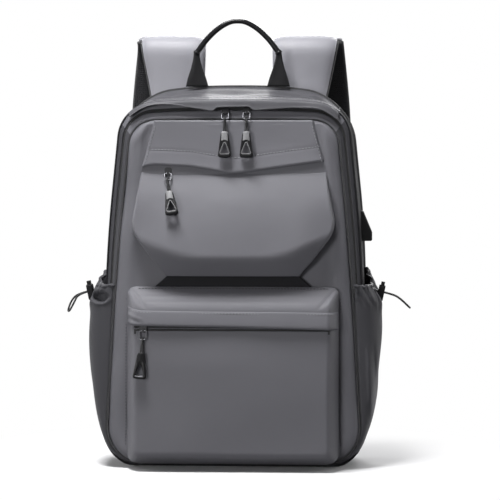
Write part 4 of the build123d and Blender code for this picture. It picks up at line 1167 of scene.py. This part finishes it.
def elastic_cord(side, route):
    hand = HAND[side]
    along, up, out = array(route).T
    x = side * (EYELET[0] + out * cos(DIP) + up * sin(DIP))
    z = EYELET[2] - out * sin(DIP) + up * cos(DIP)
    points = (xyz(x, EYELET[1] + along, z) * MM).tolist()
    curve = configure(bpy.data.curves.new(f"elastic_cord_{hand}", "CURVE"), dimensions="3D", bevel_depth=1.1 * MM,
                      bevel_resolution=4, use_fill_caps=True)
    spline = curve.splines.new("NURBS")
    spline.points.add(len(points) - 1)
    for p, q in zip(spline.points, points):
        p.co = (*q, 1)
    configure(spline, order_u=3, use_endpoint_u=True, resolution_u=12)
    obj = linked(f"elastic_cord_{hand}", curve)
    curve.materials.append(ELASTIC)
    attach(obj, "bag")
    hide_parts(f"pocket_cord_{hand}")


elastic_cord(1, RIGHT)
elastic_cord(-1, LEFT)


# --- studio
FLOOR_RADIUS, FLOOR_Z = 6000, -0.6
# name, place, aim, size and watts
LAMPS = (
    ("top", (-0.2, -0.26, 1.25), (0, -0.05, 0.22), (0.5, 0.26), 20),
    ("front", (-1.2, -2.35, 0.40), (0, 0, 0.2), (0.7, 0.6), 25),
    ("back_fill", (0.2, 1.6, 1.2), (0, 0, 0.25), (1.2, 1), 34),
    ("left_fill", (-2, 0.7, 0.8), (0, 0, 0.2), (1, 1), 16),
    ("right_fill", (2, 0.7, 0.8), (0, 0, 0.2), (1, 1), 16),
)


def shown(tree, plain, pale):
    """Pale to rays that are seen, mirrored or passed through, plain to the others."""
    rays = node(tree, "LightPath", {}, None).outputs
    share = rays["Is Camera Ray"]
    for name in ("Is Glossy Ray", "Is Transmission Ray"):
        share = node(tree, "Math", {0: share, 1: rays[name]}, operation="MAXIMUM")
    return node(tree, "MixShader", {0: share, 1: plain, 2: pale})


def fresh_tree(owner):
    owner.use_nodes = True
    owner.node_tree.nodes.clear()
    return owner.node_tree


def studio_floor():
    """A disc that takes the bag's shadow near it and fades into white."""
    a = turn(64)
    floor = mesh_object("floor", xyz(FLOOR_RADIUS * cos(a), FLOOR_RADIUS * sin(a), FLOOR_Z), [tuple(range(64))])
    made = bpy.data.materials.new("studio_floor")
    tree = fresh_tree(made)
    far = node(tree, "VectorMath", {0: node(tree, "TexCoord", {}, "Object")}, "Value", operation="LENGTH")
    span = {"From Min": 0.16, "From Max": 0.36, "Value": far}
    fade = node(tree, "MapRange", span, "Result", interpolation_type="SMOOTHSTEP")
    near = node(tree, "BsdfDiffuse", {"Color": (0.86, 0.86, 0.87, 1)})
    dim = node(tree, "BsdfDiffuse", {"Color": (0.12, 0.12, 0.125, 1)})
    pale = node(tree, "MixShader", {0: fade, 1: near, 2: node(tree, "Emission", {"Strength": 1})})
    node(tree, "OutputMaterial", {"Surface": shown(tree, dim, pale)}, None)
    floor.data.materials.append(made)


def place_facing(obj, place, ahead):
    obj.location = place
    obj.rotation_euler = ahead.to_track_quat("-Z", "Y").to_euler()


def studio_light():
    scene.world = bpy.data.worlds.new("studio")
    tree = fresh_tree(scene.world)
    plain, pale = (node(tree, "Background", {"Color": (1, 1, 1, 1), "Strength": strength}) for strength in (0.04, 1))
    node(tree, "OutputWorld", {"Surface": shown(tree, plain, pale)}, None)
    for name, place, aim, size, watts in LAMPS:
        light = bpy.data.lights.new(name, "AREA")
        configure(light, shape="RECTANGLE", size=size[0], size_y=size[1], energy=watts)
        place_facing(linked(name, light), Vector(place), Vector(aim) - Vector(place))


studio_floor()
studio_light()


# --- camera
def camera(azimuth, elevation, aim, distance, lens):
    back = Euler((radians(-elevation), 0, radians(azimuth))).to_matrix() @ Vector((0, -1, 0))
    data = configure(bpy.data.cameras.new("camera"), lens=lens, sensor_width=36, clip_end=50)
    scene.camera = linked("camera", data)
    place_facing(scene.camera, Vector(aim) + back * distance, -back)


camera(3, 2.5, (0.017, 0, 0.2423), 2.225, 141.8)
scene.view_settings.view_transform = "Standard"
